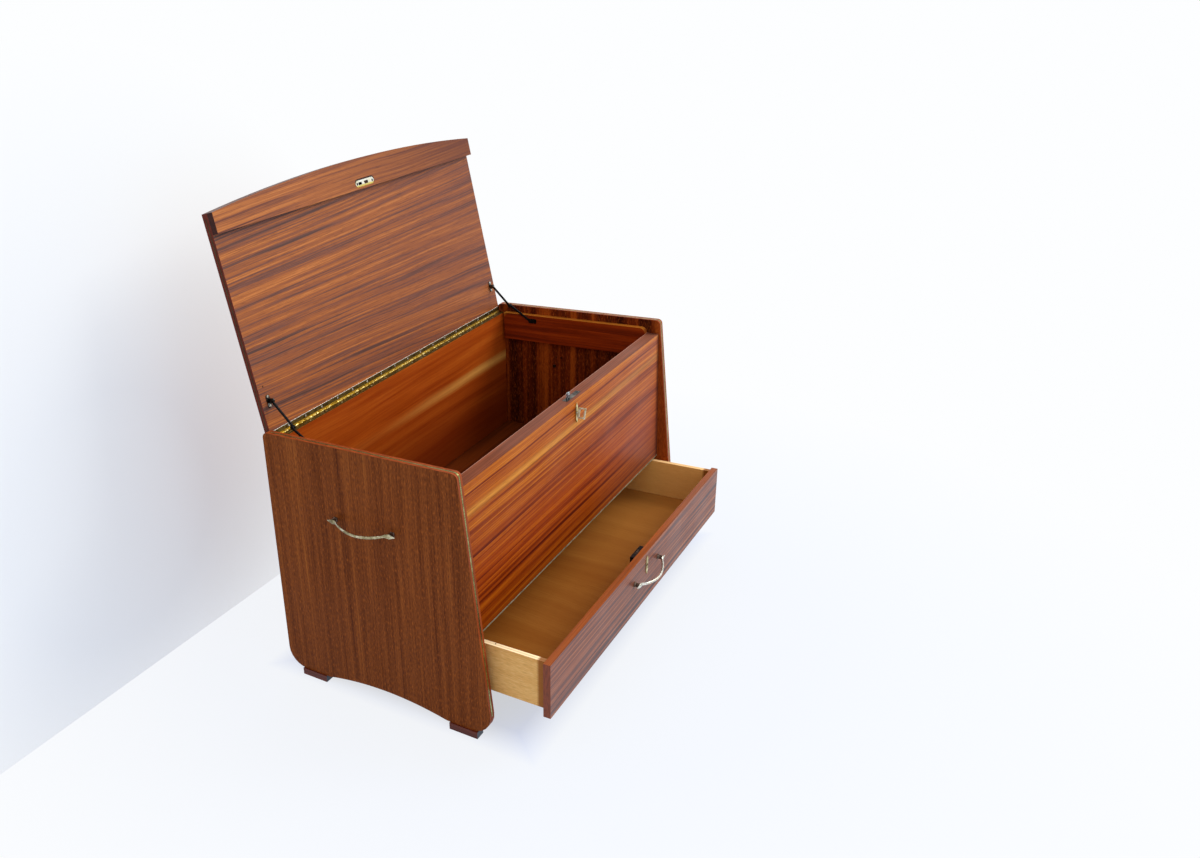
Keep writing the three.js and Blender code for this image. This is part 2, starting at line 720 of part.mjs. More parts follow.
// Places of the stays' pivots in the (y, z) plane about the hinge axis
function stayPlaces() {
  const lid_pivot_closed = new THREE.Vector2(-stay_lid_reach, lid_underside - hinge_axis_z - stay_lid_drop);
  const lid_pivot_open = lid_pivot_closed.clone().rotateAround(new THREE.Vector2(), -lid_open_angle);
  const wall_pivot = new THREE.Vector2(-stay_wall_reach, -stay_wall_drop);
  const span = lid_pivot_open.clone().sub(wall_pivot);
  const arm = span.length() / 2 * (1 + stay_slack_share);
  const sag = Math.sqrt(arm ** 2 - (span.length() / 2) ** 2);
  const aside = new THREE.Vector2(span.y, -span.x).normalize().multiplyScalar(sag);
  const elbow = wall_pivot.clone().addScaledVector(span, 1 / 2).add(aside);
  return { lid_pivot_closed, lid_pivot_open, wall_pivot, elbow, arm };
}

// The layers of a stay, counted inwards from the cleat's inner face
function stayLayers() {
  const wall = cleat_inner - stay_plate_thickness;
  const lower_outer = wall - running_gap;
  const lower_inner = lower_outer - stay_arm_thickness;
  const lower_head = lower_inner - running_gap;
  const upper_outer = lower_head - stay_head_height - running_gap;
  const upper_inner = upper_outer - stay_arm_thickness;
  const ear_outer = upper_inner - running_gap;
  const ear_inner = ear_outer - stay_plate_thickness;
  return { wall, lower_outer, lower_inner, lower_head, upper_outer, upper_inner, ear_outer, ear_inner };
}

// An arm along +Y from its pivot, with an eye at each end and a hole at the pivot
function stayArm(sign, x_a, x_b, length) {
  const bar = stay_arm_width / 2;
  const body = block(sign * x_a, sign * x_b, 0, length, -bar, bar);
  const eyes = join(body, rodX(stay_eye_radius, sign * x_a, sign * x_b, 0, 0),
    rodX(stay_eye_radius, sign * x_a, sign * x_b, length, 0));
  return cut(eyes, rodX(stay_pin_radius + seam, sign * (x_a + overrun), sign * (x_b - overrun), 0, 0));
}

function addLidBracket(lid, word, sign, underside) {
  const layers = stayLayers();
  const places = stayPlaces();
  const y = places.lid_pivot_closed.x;
  const z = places.lid_pivot_closed.y;
  const plate_top = underside - seam;
  const plate_low = plate_top - stay_lid_plate_thickness;
  const plate_round = (layers.wall - layers.ear_inner) / 2;
  const plate_middle = sign * (layers.ear_inner + plate_round);
  const plate_reach = stay_lid_plate_length / 2 - plate_round;
  const plate = join(
    block(sign * layers.ear_inner, sign * layers.wall, y - plate_reach, y + plate_reach,
      plate_low, plate_top),
    rodZ(plate_round, plate_low, plate_top, plate_middle, y - plate_reach),
    rodZ(plate_round, plate_low, plate_top, plate_middle, y + plate_reach));
  const ear = block(sign * layers.ear_inner, sign * layers.ear_outer,
    y - stay_ear_width / 2, y + stay_ear_width / 2, z, plate_top);
  const ear_end = rodX(stay_ear_width / 2, sign * layers.ear_inner, sign * layers.ear_outer, y, z);
  const head_inner = layers.upper_outer + seam;
  const pin = rodX(stay_pin_radius, sign * layers.ear_inner, sign * head_inner, y, z);
  const head = rodX(stay_head_radius, sign * head_inner, sign * (layers.lower_inner - seam), y, z);
  piece(lid, `${word}_stay_lid_bracket`, join(plate, ear, ear_end, pin, head), 'black_steel');
}

// Wall brackets and the two arms of each stay, laid out for the open lid
function addStays(parent) {
  const layers = stayLayers();
  const places = stayPlaces();
  const half_height = stay_plate_height / 2;
  for (const [word, sign] of [['left', -1], ['right', 1]]) {
    const wall = subassembly(parent, 0, hinge_axis_y + places.wall_pivot.x,
      hinge_axis_z + places.wall_pivot.y);
    const plate = block(sign * cleat_inner, sign * layers.wall, half_height - stay_plate_length, half_height,
      -half_height, half_height);
    const pin = rodX(stay_pin_radius, sign * layers.wall, sign * layers.lower_head, 0, 0);
    const head = rodX(stay_head_radius, sign * layers.lower_head,
      sign * (layers.lower_head - stay_head_height), 0, 0);
    piece(wall, `${word}_stay_wall_bracket`, join(plate, pin, head), 'black_steel');

    const lower = stayArm(sign, layers.lower_outer, layers.lower_inner, places.arm);
    const rivet = rodX(stay_pin_radius, sign * layers.lower_inner, sign * (layers.upper_outer + seam),
      places.arm, 0);
    const lower_mesh = piece(wall, `${word}_stay_lower_arm`, join(lower, rivet), 'black_steel');
    const lower_run = places.elbow.clone().sub(places.wall_pivot);
    lower_mesh.rotation.x = lower_run.angle();

    const lid_pivot = subassembly(parent, 0, hinge_axis_y + places.lid_pivot_open.x,
      hinge_axis_z + places.lid_pivot_open.y);
    const upper = stayArm(sign, layers.upper_outer, layers.upper_inner, places.arm);
    const cap = rodX(stay_head_radius, sign * layers.upper_inner, sign * layers.ear_outer, places.arm, 0);
    const upper_mesh = piece(lid_pivot, `${word}_stay_upper_arm`, join(upper, cap), 'black_steel');
    const upper_run = places.elbow.clone().sub(places.lid_pivot_open);
    upper_mesh.rotation.x = upper_run.angle();
  }
}

// The chest lock in the front panel, its hook, key and escutcheon
function addChestLock(parent) {
  const group = subassembly(parent, lock_offset, lock_line_y, front_top);
  const plate = block(-lock_plate_width / 2, lock_plate_width / 2,
    -lock_plate_depth / 2, lock_plate_depth / 2, -lock_plate_thickness, 0);
  const hook_half = hook_width / 2 + hook_slot_gap;
  const hook_side = hook_thickness / 2 + hook_slot_gap;
  const slot_bottom = -lock_plate_thickness - hook_tail - hook_lift - running_gap;
  const slot = block(hook_offset - hook_half, hook_offset + hook_half, -hook_side, hook_side,
    slot_bottom, overrun);
  piece(group, 'chest_lock_plate', cut(plate, slot), 'lock_steel');
  const case_low = -lock_plate_thickness - lock_case_height;
  const body = block(-lock_case_width / 2, lock_case_width / 2, -lock_case_depth / 2, lock_case_depth / 2,
    case_low, -lock_plate_thickness);
  const chamber_back = lock_case_depth / 2 - key_chamber_floor;
  const chamber = rodY(key_chamber_radius, -chamber_back, chamber_back, key_offset, -key_drop);
  piece(group, 'chest_lock_case', cut(body, slot, chamber,
    ...keyhole(key_offset, -key_drop, -lock_case_depth, 0)), 'lock_steel');
  piece(group, 'lock_hook', block(hook_offset - hook_width / 2, hook_offset + hook_width / 2,
    -hook_thickness / 2, hook_thickness / 2, -lock_plate_thickness - hook_tail, hook_lift), 'lock_steel');
  addKey(parent, chamber_back);
  const lean = Math.atan(front_lean_share);
  const cover = piece(parent, 'chest_escutcheon', escutcheonGeometry(), 'pale_brass');
  cover.position.set(lock_offset + key_offset, frontFace(key_level) - seam, key_level);
  cover.rotation.x = -lean;
}

// The key's shank runs along Y through the origin, the bow stands out in front
function addKey(parent, chamber_back) {
  const face = frontFace(key_level) - lock_line_y;
  const bow_back = face - key_shank_show;
  const bow_front = bow_back - key_bow_depth;
  const half = key_bow_height / 2;
  const side = key_bow_thickness / 2;
  const bow = cut(block(-side, side, bow_front, bow_back, -half, half),
    block(-side - overrun, side + overrun, bow_front + key_bow_wire, bow_back - key_bow_wire,
      -half + key_bow_wire, half - key_bow_wire));
  const shank = rodY(key_shank_radius, bow_back - key_bow_wire / 2, chamber_back - seam, 0, 0);
  const bit_half = key_bit_width / 2;
  const bit = block(-bit_half, bit_half, -chamber_back + seam, chamber_back - seam,
    0, key_shank_radius + key_bit_length);
  const key = piece(parent, 'key', join(bow, shank, bit), 'nickel');
  key.position.set(lock_offset + key_offset, lock_line_y, key_level);
}

// A slender plate with pointed ends and a keyhole, lying against the plane y = 0
function escutcheonGeometry() {
  const half = escutcheon_width / 2;
  const tip = escutcheon_height / 2;
  const shoulder = tip - escutcheon_width;
  const shape = outline([
    [half, -shoulder], [half, shoulder], [0, tip],
    [-half, shoulder], [-half, -shoulder], [0, -tip],
  ]);
  return cut(plateY(shape, -escutcheon_thickness, 0),
    ...keyhole(0, 0, -escutcheon_thickness - overrun, overrun));
}

// The drawer, placed part way out
function addDrawer(parent) {
  const drawer = subassembly(parent, 0, drawer_closed_y - drawer_pull, 0);
  const front_half = side_inner - drawer_front_side_gap;
  const side_face = side_inner - drawer_side_gap;
  const side_back = side_face - drawer_side_thickness;
  const side_top_z = drawer_front_top - drawer_side_drop;
  const board = block(-front_half, front_half, 0, drawer_front_thickness,
    drawer_front_bottom, drawer_front_top);
  const lock_x = drawer_lock_offset;
  const hole_x = lock_x + drawer_keyhole_offset;
  const hole_z = drawer_front_top - drawer_keyhole_drop;
  const holes = keyhole(hole_x, hole_z, -overrun, drawer_front_thickness + overrun);
  for (const end of [-1, 1]) {
    holes.push(rodY(screw_shank_radius + seam, -overrun, drawer_front_thickness + overrun,
      end * handle_centres / 2, drawer_handle_level));
  }
  piece(drawer, 'drawer_front', cut(board, ...holes), 'drawer_veneer');
  const bottom_low = drawer_side_bottom + drawer_bottom_lift;
  const bottom_top = bottom_low + drawer_bottom_thickness;
  const groove = side_back + drawer_groove_depth;
  for (const [word, sign] of [['left', -1], ['right', 1]]) {
    const section = outline([
      [sign * side_face, drawer_side_bottom],
      [sign * side_back, drawer_side_bottom],
      [sign * side_back, bottom_low - seam],
      [sign * groove, bottom_low - seam],
      [sign * groove, bottom_top + seam],
      [sign * side_back, bottom_top + seam],
      [sign * side_back, side_top_z],
      [sign * side_face, side_top_z],
    ]);
    piece(drawer, `drawer_${word}_side`, plateY(section, drawer_front_thickness, drawer_depth), 'pale_wood');
  }
  piece(drawer, 'drawer_bottom', block(-groove + seam, groove - seam, drawer_front_thickness,
    drawer_depth - drawer_back_thickness, bottom_low, bottom_top), 'plywood');
  piece(drawer, 'drawer_back', block(-side_back, side_back, drawer_depth - drawer_back_thickness,
    drawer_depth, drawer_side_bottom, side_top_z - drawer_back_drop), 'pale_wood');
  addDrawerLock(drawer, lock_x, hole_x, hole_z);
}

// The drawer's lock case and bolt behind its front, and the escutcheon before it
function addDrawerLock(drawer, x, hole_x, hole_z) {
  const back = drawer_front_thickness;
  const top = drawer_front_top - drawer_lock_drop;
  const middle = back + drawer_lock_depth / 2;
  const half = bolt_width / 2;
  const side = bolt_thickness / 2;
  const body = block(x - drawer_lock_width / 2, x + drawer_lock_width / 2, back, back + drawer_lock_depth,
    top - drawer_lock_height, top);
  const slot = block(x - half - running_gap, x + half + running_gap, middle - side - running_gap,
    middle + side + running_gap, top - bolt_height - running_gap, top + overrun);
  piece(drawer, 'drawer_lock_case',
    cut(body, slot, ...keyhole(hole_x, hole_z, back - overrun, middle)), 'black_steel');
  piece(drawer, 'drawer_lock_bolt',
    block(x - half, x + half, middle - side, middle + side, top - bolt_height, top), 'lock_steel');
  const cover = piece(drawer, 'drawer_escutcheon', escutcheonGeometry(), 'pale_brass');
  cover.position.set(hole_x, 0, hole_z);
}

// The whole chest, centred on the floor under its own extent
function chest() {
  const whole = new THREE.Group();
  const body = subassembly(whole, 0, 0, 0);
  addSides(body);
  addBoards(body);
  addCleats(body);
  addRunners(body);
  addHinge(body);
  addLid(body);
  addStays(body);
  addChestLock(body);
  addDrawer(body);
  const side_y = -side_handle_setback;
  addHandle(body, 'left', side_thickness, [-side_outer, side_y, side_handle_level], Math.PI / 2);
  addHandle(body, 'right', side_thickness, [side_outer, side_y, side_handle_level], -Math.PI / 2);
  const drawer_face = drawer_closed_y - drawer_pull;
  addHandle(body, 'drawer', drawer_front_thickness, [0, drawer_face, drawer_handle_level], Math.PI);
  body.updateMatrixWorld(true);
  const extent = new THREE.Box3().setFromObject(body, true);
  body.position.y = -(extent.min.y + extent.max.y) / 2;
  return whole;
}

export default chest();
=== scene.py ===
"""The mule chest's visual model: materials, fine pieces, floor, light and camera."""

import json
import math
from typing import NamedTuple

import bmesh
import bpy
from mathutils import Matrix, Vector


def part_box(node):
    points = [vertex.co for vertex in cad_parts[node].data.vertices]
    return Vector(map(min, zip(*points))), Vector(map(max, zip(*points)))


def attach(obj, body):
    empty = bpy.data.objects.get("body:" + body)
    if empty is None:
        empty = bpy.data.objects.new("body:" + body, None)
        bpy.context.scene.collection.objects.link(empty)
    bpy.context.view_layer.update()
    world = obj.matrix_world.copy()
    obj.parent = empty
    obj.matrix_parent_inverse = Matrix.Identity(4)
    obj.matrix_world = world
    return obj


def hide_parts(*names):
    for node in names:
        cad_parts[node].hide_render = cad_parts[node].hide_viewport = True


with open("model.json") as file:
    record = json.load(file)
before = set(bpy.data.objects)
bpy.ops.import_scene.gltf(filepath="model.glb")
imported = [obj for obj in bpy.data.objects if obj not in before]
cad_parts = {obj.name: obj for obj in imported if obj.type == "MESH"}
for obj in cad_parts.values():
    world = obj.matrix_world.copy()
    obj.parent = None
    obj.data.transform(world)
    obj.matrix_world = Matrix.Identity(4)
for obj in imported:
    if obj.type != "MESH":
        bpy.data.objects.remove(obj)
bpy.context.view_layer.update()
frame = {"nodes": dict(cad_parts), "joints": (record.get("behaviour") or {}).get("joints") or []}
nodes = frame["nodes"]

# Materials and light are laid out in metres, the fine pieces in millimetres.
MM = 0.001

# Axes of the frame: X runs to the right, Y to the back and Z up.
X_AXIS = Vector((1.0, 0.0, 0.0))
Y_AXIS = Vector((0.0, 1.0, 0.0))
Z_AXIS = Vector((0.0, 0.0, 1.0))


def joint(name):
    return next(item for item in frame["joints"] if item["name"] == name)


def box_mm(node):
    """A node's lowest and highest corners at rest, in mm."""
    low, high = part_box(node)
    return low / MM, high / MM


def middle_mm(node):
    low, high = box_mm(node)
    return (low + high) / 2.0


# The lid's place: it leans back past upright about the hinge axis. In the lid's own axes the lid
# is shut, its front edge lies towards -Y and its underside is just above the hinge axis.
LID_OPEN = math.radians(joint("lid_hinge")["range_deg"][1])
HINGE_AXIS = Vector(joint("lid_hinge")["pos_m"])
HINGE_PLACE = Matrix.Translation(HINGE_AXIS)
LID_PLACE = HINGE_PLACE @ Matrix.Rotation(-LID_OPEN, 4, "X")
LID_ACROSS = (LID_PLACE.to_3x3() @ -Y_AXIS).normalized()
HINGE_LEVEL = HINGE_AXIS.dot(LID_ACROSS)


def linear(code):
    """An sRGB colour such as A5603A as linear red, green, blue and alpha."""
    channels = []
    for start in (0, 2, 4):
        value = int(code[start : start + 2], 16) / 255.0
        low = value / 12.92
        high = ((value + 0.055) / 1.055) ** 2.4
        channels.append(low if value <= 0.04045 else high)
    return (*channels, 1.0)


def lit(code, gain):
    """A colour code brightened or dimmed in linear light."""
    red, green, blue, alpha = linear(code)
    return (red * gain, green * gain, blue * gain, alpha)


# Working range of a noise: most of its values lie between the two, about the middle.
NOISE_RANGE = (0.3, 0.7)
NOISE_MIDDLE = 0.5


class Shader:
    """One material: a Principled shader and short calls for the nodes that feed it."""

    def __init__(self, name):
        self.material = bpy.data.materials.new(name)
        self.material.use_nodes = True
        self.tree = self.material.node_tree
        self.tree.nodes.clear()
        self.bsdf = self.tree.nodes.new("ShaderNodeBsdfPrincipled")
        self.surface = self.tree.nodes.new("ShaderNodeOutputMaterial").inputs[0]
        self.tree.links.new(self.bsdf.outputs[0], self.surface)
        coordinates = self.tree.nodes.new("ShaderNodeTexCoord")
        self.place = coordinates.outputs["Object"]
        self.normal = coordinates.outputs["Normal"]

    def feed(self, socket, value):
        if isinstance(value, bpy.types.NodeSocket):
            self.tree.links.new(value, socket)
        else:
            socket.default_value = value

    def set(self, **values):
        for name, value in values.items():
            self.feed(self.bsdf.inputs[name.replace("_", " ")], value)

    def math(self, operation, first, second=0.0, clamp=False):
        node = self.tree.nodes.new("ShaderNodeMath")
        node.operation = operation
        node.use_clamp = clamp
        self.feed(node.inputs[0], first)
        self.feed(node.inputs[1], second)
        return node.outputs[0]

    def add(self, first, second):
        return self.math("ADD", first, second)

    def subtract(self, first, second):
        return self.math("SUBTRACT", first, second)

    def multiply(self, first, second):
        return self.math("MULTIPLY", first, second)

    def size(self, value):
        return self.math("ABSOLUTE", value)

    def vector_math(self, operation, first, second):
        node = self.tree.nodes.new("ShaderNodeVectorMath")
        node.operation = operation
        self.feed(node.inputs[0], first)
        self.feed(node.inputs[1], tuple(second))
        return node.outputs["Value"]

    def along(self, direction):
        """How far a point lies along a direction from the frame's origin."""
        return self.vector_math("DOT_PRODUCT", self.place, direction)

    def from_point(self, point):
        """How far a point lies from another."""
        return self.vector_math("DISTANCE", self.place, point)

    def facing(self, direction):
        """How squarely the surface looks along a direction, from -1 to 1."""
        return self.vector_math("DOT_PRODUCT", self.normal, direction)

    def join(self, x, y, z):
        node = self.tree.nodes.new("ShaderNodeCombineXYZ")
        for socket, value in zip(node.inputs, (x, y, z)):
            self.feed(socket, value)
        return node.outputs[0]

    def noise(self, vector, scale=1.0, detail=2.0, roughness=0.5):
        node = self.tree.nodes.new("ShaderNodeTexNoise")
        self.feed(node.inputs["Vector"], vector)
        self.feed(node.inputs["Scale"], scale)
        self.feed(node.inputs["Detail"], detail)
        self.feed(node.inputs["Roughness"], roughness)
        return node.outputs["Fac"]

    def remap(self, value, low, high, to_low=0.0, to_high=1.0):
        node = self.tree.nodes.new("ShaderNodeMapRange")
        for index, item in enumerate((value, low, high, to_low, to_high)):
            self.feed(node.inputs[index], item)
        return node.outputs[0]

    def ramp(self, value, stops):
        node = self.tree.nodes.new("ShaderNodeValToRGB")
        elements = node.color_ramp.elements
        while len(elements) < len(stops):
            elements.new(0.5)
        for element, (position, color) in zip(elements, stops):
            element.position = position
            element.color = color
        self.feed(node.inputs[0], value)
        return node.outputs[0]

    def mix(self, share, first, second, mode="MIX"):
        """Two colours mixed; the node's colour sockets come after those for numbers and vectors."""
        node = self.tree.nodes.new("ShaderNodeMix")
        node.data_type = "RGBA"
        node.blend_type = mode
        self.feed(node.inputs[0], share)
        self.feed(node.inputs[6], first)
        self.feed(node.inputs[7], second)
        return node.outputs[2]

    def mix_shaders(self, share, first, second):
        node = self.tree.nodes.new("ShaderNodeMixShader")
        self.feed(node.inputs[0], share)
        self.tree.links.new(first, node.inputs[1])
        self.tree.links.new(second, node.inputs[2])
        return node.outputs[0]

    def bump(self, height, strength, distance):
        node = self.tree.nodes.new("ShaderNodeBump")
        self.feed(node.inputs["Strength"], strength)
        self.feed(node.inputs["Distance"], distance)
        self.feed(node.inputs["Height"], height)
        self.feed(self.bsdf.inputs["Normal"], node.outputs[0])


class Inside(NamedTuple):
    """A board's inner face: where it looks, its tones, and a painted light where it runs past a place
    along Y.
    """

    direction: Vector
    tones: tuple
    past_from: float
    past_to: float
    painted_light_code: str


class Streak(NamedTuple):
    """A pale streak along the grain, fading from its strong end to its weak one."""

    place: float
    width: float
    slant: float
    code: str
    strength: float
    weak_end: float
    strong_end: float
    weak_share: float


class Shade(NamedTuple):
    """A colour that comes in along a direction, between the places where it is none and full."""

    direction: Vector
    none: float
    full: float
    code: str
    strength: float = 1.0


class RecessShadow(NamedTuple):
    """The painted shadow round a let-in plate with round ends, in the grain's own axes."""

    middle: float
    level: float
    half: float
    radius: float


class Mark(NamedTuple):
    """A dark dot for the painted shade in an old screw hole, also used for a nail head: its place and
    radius, in mm.
    """

    point: tuple
    radius: float


# How squarely a surface has to look along an axis to count as that face: from none to full.
FACING_RANGE = (0.6, 0.75)
GRAIN_DEPTH_SCALE = 40.0
DRIFT_SCALES = (1.7, 2.3)
BAND_SHARE_INSIDE = 0.6
INSIDE_CONTRAST = (0.38, 0.62)
# How strong the painted light is on an inner face in front of the chest's front panel.
PAINTED_LIGHT_STRENGTH = 0.75
PORE_RANGE = (0.54, 0.7)
FLECK_RANGE = (0.46, 0.3)
LAYER_SCALES = (5.0, 420.0, 90.0)
LAYER_RANGE = (0.35, 0.65)
LAYER_GAINS = (0.68, 1.25)
# Width and colour of the painted shadow round a let-in plate's recess.
RECESS_SHADOW_WIDTH = 0.0006
RECESS_SHADOW_CODE = "180A06"
HOLE_SHADE_AND_NAIL_CODE = "120806"
HOLE_CORE_SHARE = 0.6
GAP_STRENGTH = 0.9
SHEEN_SCALE = 9.0
GRAIN_BUMP_STRENGTH = 0.12
GRAIN_BUMP_DEPTH = 0.0004


def inner_face(s, color, bands, ribbons, inside):
    """The tones of the inner face, with painted light where it runs past the chest's front."""
    broad = s.add(s.multiply(bands, BAND_SHARE_INSIDE), s.multiply(ribbons, 1.0 - BAND_SHARE_INSIDE))
    stops = [(position, linear(code)) for position, code in inside.tones]
    inner = s.ramp(s.remap(broad, *INSIDE_CONTRAST), stops)
    past = s.remap(s.along(Y_AXIS), inside.past_from, inside.past_to, 0.0, PAINTED_LIGHT_STRENGTH)
    inner = s.mix(past, inner, linear(inside.painted_light_code))
    return s.mix(s.remap(s.facing(inside.direction), *FACING_RANGE), color, inner)


def pale_streak(s, color, u, v, ribbons, streak, gain):
    line = s.add(s.subtract(v, streak.place), s.multiply(u, streak.slant))
    ragged = s.multiply(s.subtract(ribbons, NOISE_MIDDLE), streak.width)
    near = s.remap(s.size(s.add(line, ragged)), 0.0, streak.width, streak.strength, 0.0)
    fading = s.remap(u, streak.weak_end, streak.strong_end, streak.weak_share, 1.0)
    return s.mix(s.multiply(near, fading), color, lit(streak.code, gain))


def pored(s, color, fine, pore_tone, pores, flecks, gain):
    """Dark pores, and light flecks where the same fine noise is low."""
    color = s.mix(s.remap(fine, *PORE_RANGE, 0.0, pores), color, lit(pore_tone, gain))
    if flecks:
        code, strength = flecks
        color = s.mix(s.remap(fine, *FLECK_RANGE, 0.0, strength), color, lit(code, gain))
    return color


def edge_grain(s, color, layers, sides, gain):
    """The board's layers on its narrow faces; sides holds pairs of tone and axis."""
    for tone, axis in sides:
        if tone:
            grain = s.remap(layers, *LAYER_RANGE, *LAYER_GAINS)
            rim = s.mix(1.0, lit(tone, gain), s.join(grain, grain, grain), "MULTIPLY")
            color = s.mix(s.remap(s.size(s.facing(axis)), *FACING_RANGE), color, rim)
    return color


def shaded(s, color, shade, tone, mode="MIX"):
    share = s.remap(s.along(shade.direction), shade.full, shade.none, shade.strength, 0.0)
    return s.mix(share, color, tone, mode)


# Painted shadow: a dark line round the recess of a let-in plate.
def painted_recess_shadow(s, color, u, height, recess_shadow):
    past = s.math("MAXIMUM", s.subtract(s.size(s.subtract(u, recess_shadow.middle)), recess_shadow.half), 0.0)
    off = s.subtract(height, recess_shadow.level)
    gap = s.math("SQRT", s.add(s.multiply(past, past), s.multiply(off, off)))
    dark = s.remap(gap, recess_shadow.radius - RECESS_SHADOW_WIDTH, recess_shadow.radius, GAP_STRENGTH, 0.0)
    return s.mix(dark, color, linear(RECESS_SHADOW_CODE))


# Painted shade: a dark dot where a screw hole is; the same dot marks a nail head.
def shaded_hole_and_nail_dot(s, color, mark):
    radius = mark.radius * MM
    gap = s.from_point(Vector(mark.point) * MM)
    dark = s.remap(gap, radius * HOLE_CORE_SHARE, radius, GAP_STRENGTH, 0.0)
    return s.mix(dark, color, linear(HOLE_SHADE_AND_NAIL_CODE))


def veneer(
    name,
    along,
    across,
    tones,
    pore_tone,
    lengths=(0.8, 2.2, 5.0),
    scales=(45.0, 95.0, 320.0),
    shares=(0.25, 0.45, 0.3),
    contrast=(0.38, 0.62),
    wander=0.02,
    slope=0.0,
    fan=(0.0, 0.0),
    seed=1.0,
    pores=0.5,
    pore_scales=(40.0, 1100.0),
    flecks=None,
    gain=1.0,
    roughness=(0.34, 0.5),
    specular=0.15,
    edge=None,
    end=None,
    inside=None,
    streak=None,
    shades=(),
    tints=(),
    marks=(),
    recess_shadow=None,
):
    """Veneer or board: broad bands, ribbons, fine lines and pores, all along the grain.

    lengths, scales and shares hold the bands', the ribbons' and the lines' values: how fast they
    change along and across the grain, and how much they count. across is also the direction of
    one pair of edges; the others face along the grain. shades are laid over, tints multiply.
    """
    s = Shader(name)
    u = s.along(along)
    height = s.along(across)
    deep = s.along(along.cross(across))
    w = s.add(s.multiply(deep, GRAIN_DEPTH_SCALE), seed)
    drift = s.noise(s.join(s.multiply(u, DRIFT_SCALES[0]), s.multiply(height, DRIFT_SCALES[1]), seed))
    shifted = s.multiply(s.subtract(drift, NOISE_MIDDLE), wander)
    spread = s.multiply(s.multiply(u, -fan[0]), s.subtract(height, fan[1]))
    v = s.add(s.add(height, spread), s.add(shifted, s.multiply(u, slope)))

    def stretched(along_scale, across_scale, detail=2.0, rough=0.5):
        vector = s.join(s.multiply(u, along_scale), s.multiply(v, across_scale), w)
        return s.noise(vector, detail=detail, roughness=rough)

    bands = stretched(lengths[0], scales[0])
    ribbons = stretched(lengths[1], scales[1])
    lines = stretched(lengths[2], scales[2], detail=3.0, rough=0.6)
    broad = s.add(s.multiply(bands, shares[0]), s.multiply(ribbons, shares[1]))
    level = s.remap(s.add(broad, s.multiply(lines, shares[2])), *contrast)
    color = s.ramp(level, [(position, lit(code, gain)) for position, code in tones])
    if inside:
        color = inner_face(s, color, bands, ribbons, inside)
    if streak:
        color = pale_streak(s, color, u, v, ribbons, streak, gain)
    fine = stretched(*pore_scales)
    color = pored(s, color, fine, pore_tone, pores, flecks, gain)
    stacked = [s.multiply(part, rate) for part, rate in zip((u, deep, height), LAYER_SCALES)]
    layers = s.noise(s.join(*stacked), detail=3.0)
    color = edge_grain(s, color, layers, ((edge, across), (end, along)), gain)
    for tint in tints:
        color = shaded(s, color, tint, linear(tint.code), "MULTIPLY")
    for shade in shades:
        color = shaded(s, color, shade, lit(shade.code, gain))
    if recess_shadow:
        color = painted_recess_shadow(s, color, u, height, recess_shadow)
    for mark in marks:
        color = shaded_hole_and_nail_dot(s, color, mark)
    cloud = s.noise(s.place, scale=SHEEN_SCALE, detail=3.0)
    s.set(Base_Color=color, Roughness=s.remap(cloud, *NOISE_RANGE, *roughness))
    s.set(Specular_IOR_Level=specular)
    s.bump(s.add(fine, lines), GRAIN_BUMP_STRENGTH, GRAIN_BUMP_DEPTH)
    return s.material


WEAR_RANGE = (0.35, 0.65)
SCRATCH_SCALES = (90.0, 900.0, 900.0)
METAL_BUMP_STRENGTH = 0.1
METAL_BUMP_DEPTH = 0.0002


def metal(
    name,
    tones,
    roughness=(0.25, 0.45),
    scale=60.0,
    wear=0.35,
    metallic=1.0,
    specular=0.5,
    rims=(),
):
    """Used metal: blotches, fine scratches and dull patches, with optional bands of colour along a
    direction.
    """
    s = Shader(name)
    blotch = s.noise(s.place, scale=scale, detail=4.0, roughness=0.6)
    rates = zip((X_AXIS, Y_AXIS, Z_AXIS), SCRATCH_SCALES)
    scratch = s.noise(s.join(*(s.multiply(s.along(axis), rate) for axis, rate in rates)))
    level = s.add(s.multiply(blotch, 1.0 - wear), s.multiply(scratch, wear))
    stops = [(position, linear(code)) for position, code in tones]
    color = s.ramp(s.remap(level, *WEAR_RANGE), stops)
    for rim in rims:
        color = s.mix(s.remap(s.along(rim.direction), rim.none, rim.full), color, linear(rim.code))
    smoothest, roughest = roughness
    s.set(Base_Color=color, Roughness=s.remap(level, *WEAR_RANGE, roughest, smoothest))
    s.set(Metallic=metallic, Specular_IOR_Level=specular)
    s.bump(level, METAL_BUMP_STRENGTH, METAL_BUMP_DEPTH)
    return s.material


# Places on the lid that its materials follow, measured across the lid in metres.
LID_FAN_CENTRE = HINGE_LEVEL + 0.19
LEAF_EDGE = HINGE_LEVEL + 0.0112
STRIKER_LEVEL = HINGE_LEVEL + 0.3886
# The direction in which the lid's painted shade grows.
LID_SHADE_DIRECTION = Vector((1.0, 0.0, -0.5)).normalized()
# The direction in which the cleat's painted light grows.
CLEAT_LIGHT_DIRECTION = Vector((0.0, 0.7071, 0.7071))

SIDE_TONES = ((0.0, "4A1C04"), (0.25, "602C0A"), (0.5, "723812"), (0.8, "844418"), (1.0, "9A5620"))
INSIDE_TONES = ((0.0, "380E04"), (0.4, "521A06"), (0.7, "742A08"), (1.0, "A44C12"))
# Painted shade in old screw holes on the right side's inner face.
INNER_SIDE_HOLES = (
    Mark((435.0, 92.0, 399.0), 2.4),
    Mark((435.0, 79.0, 398.5), 3.0),
    Mark((435.0, 98.0, 373.0), 1.8),
)


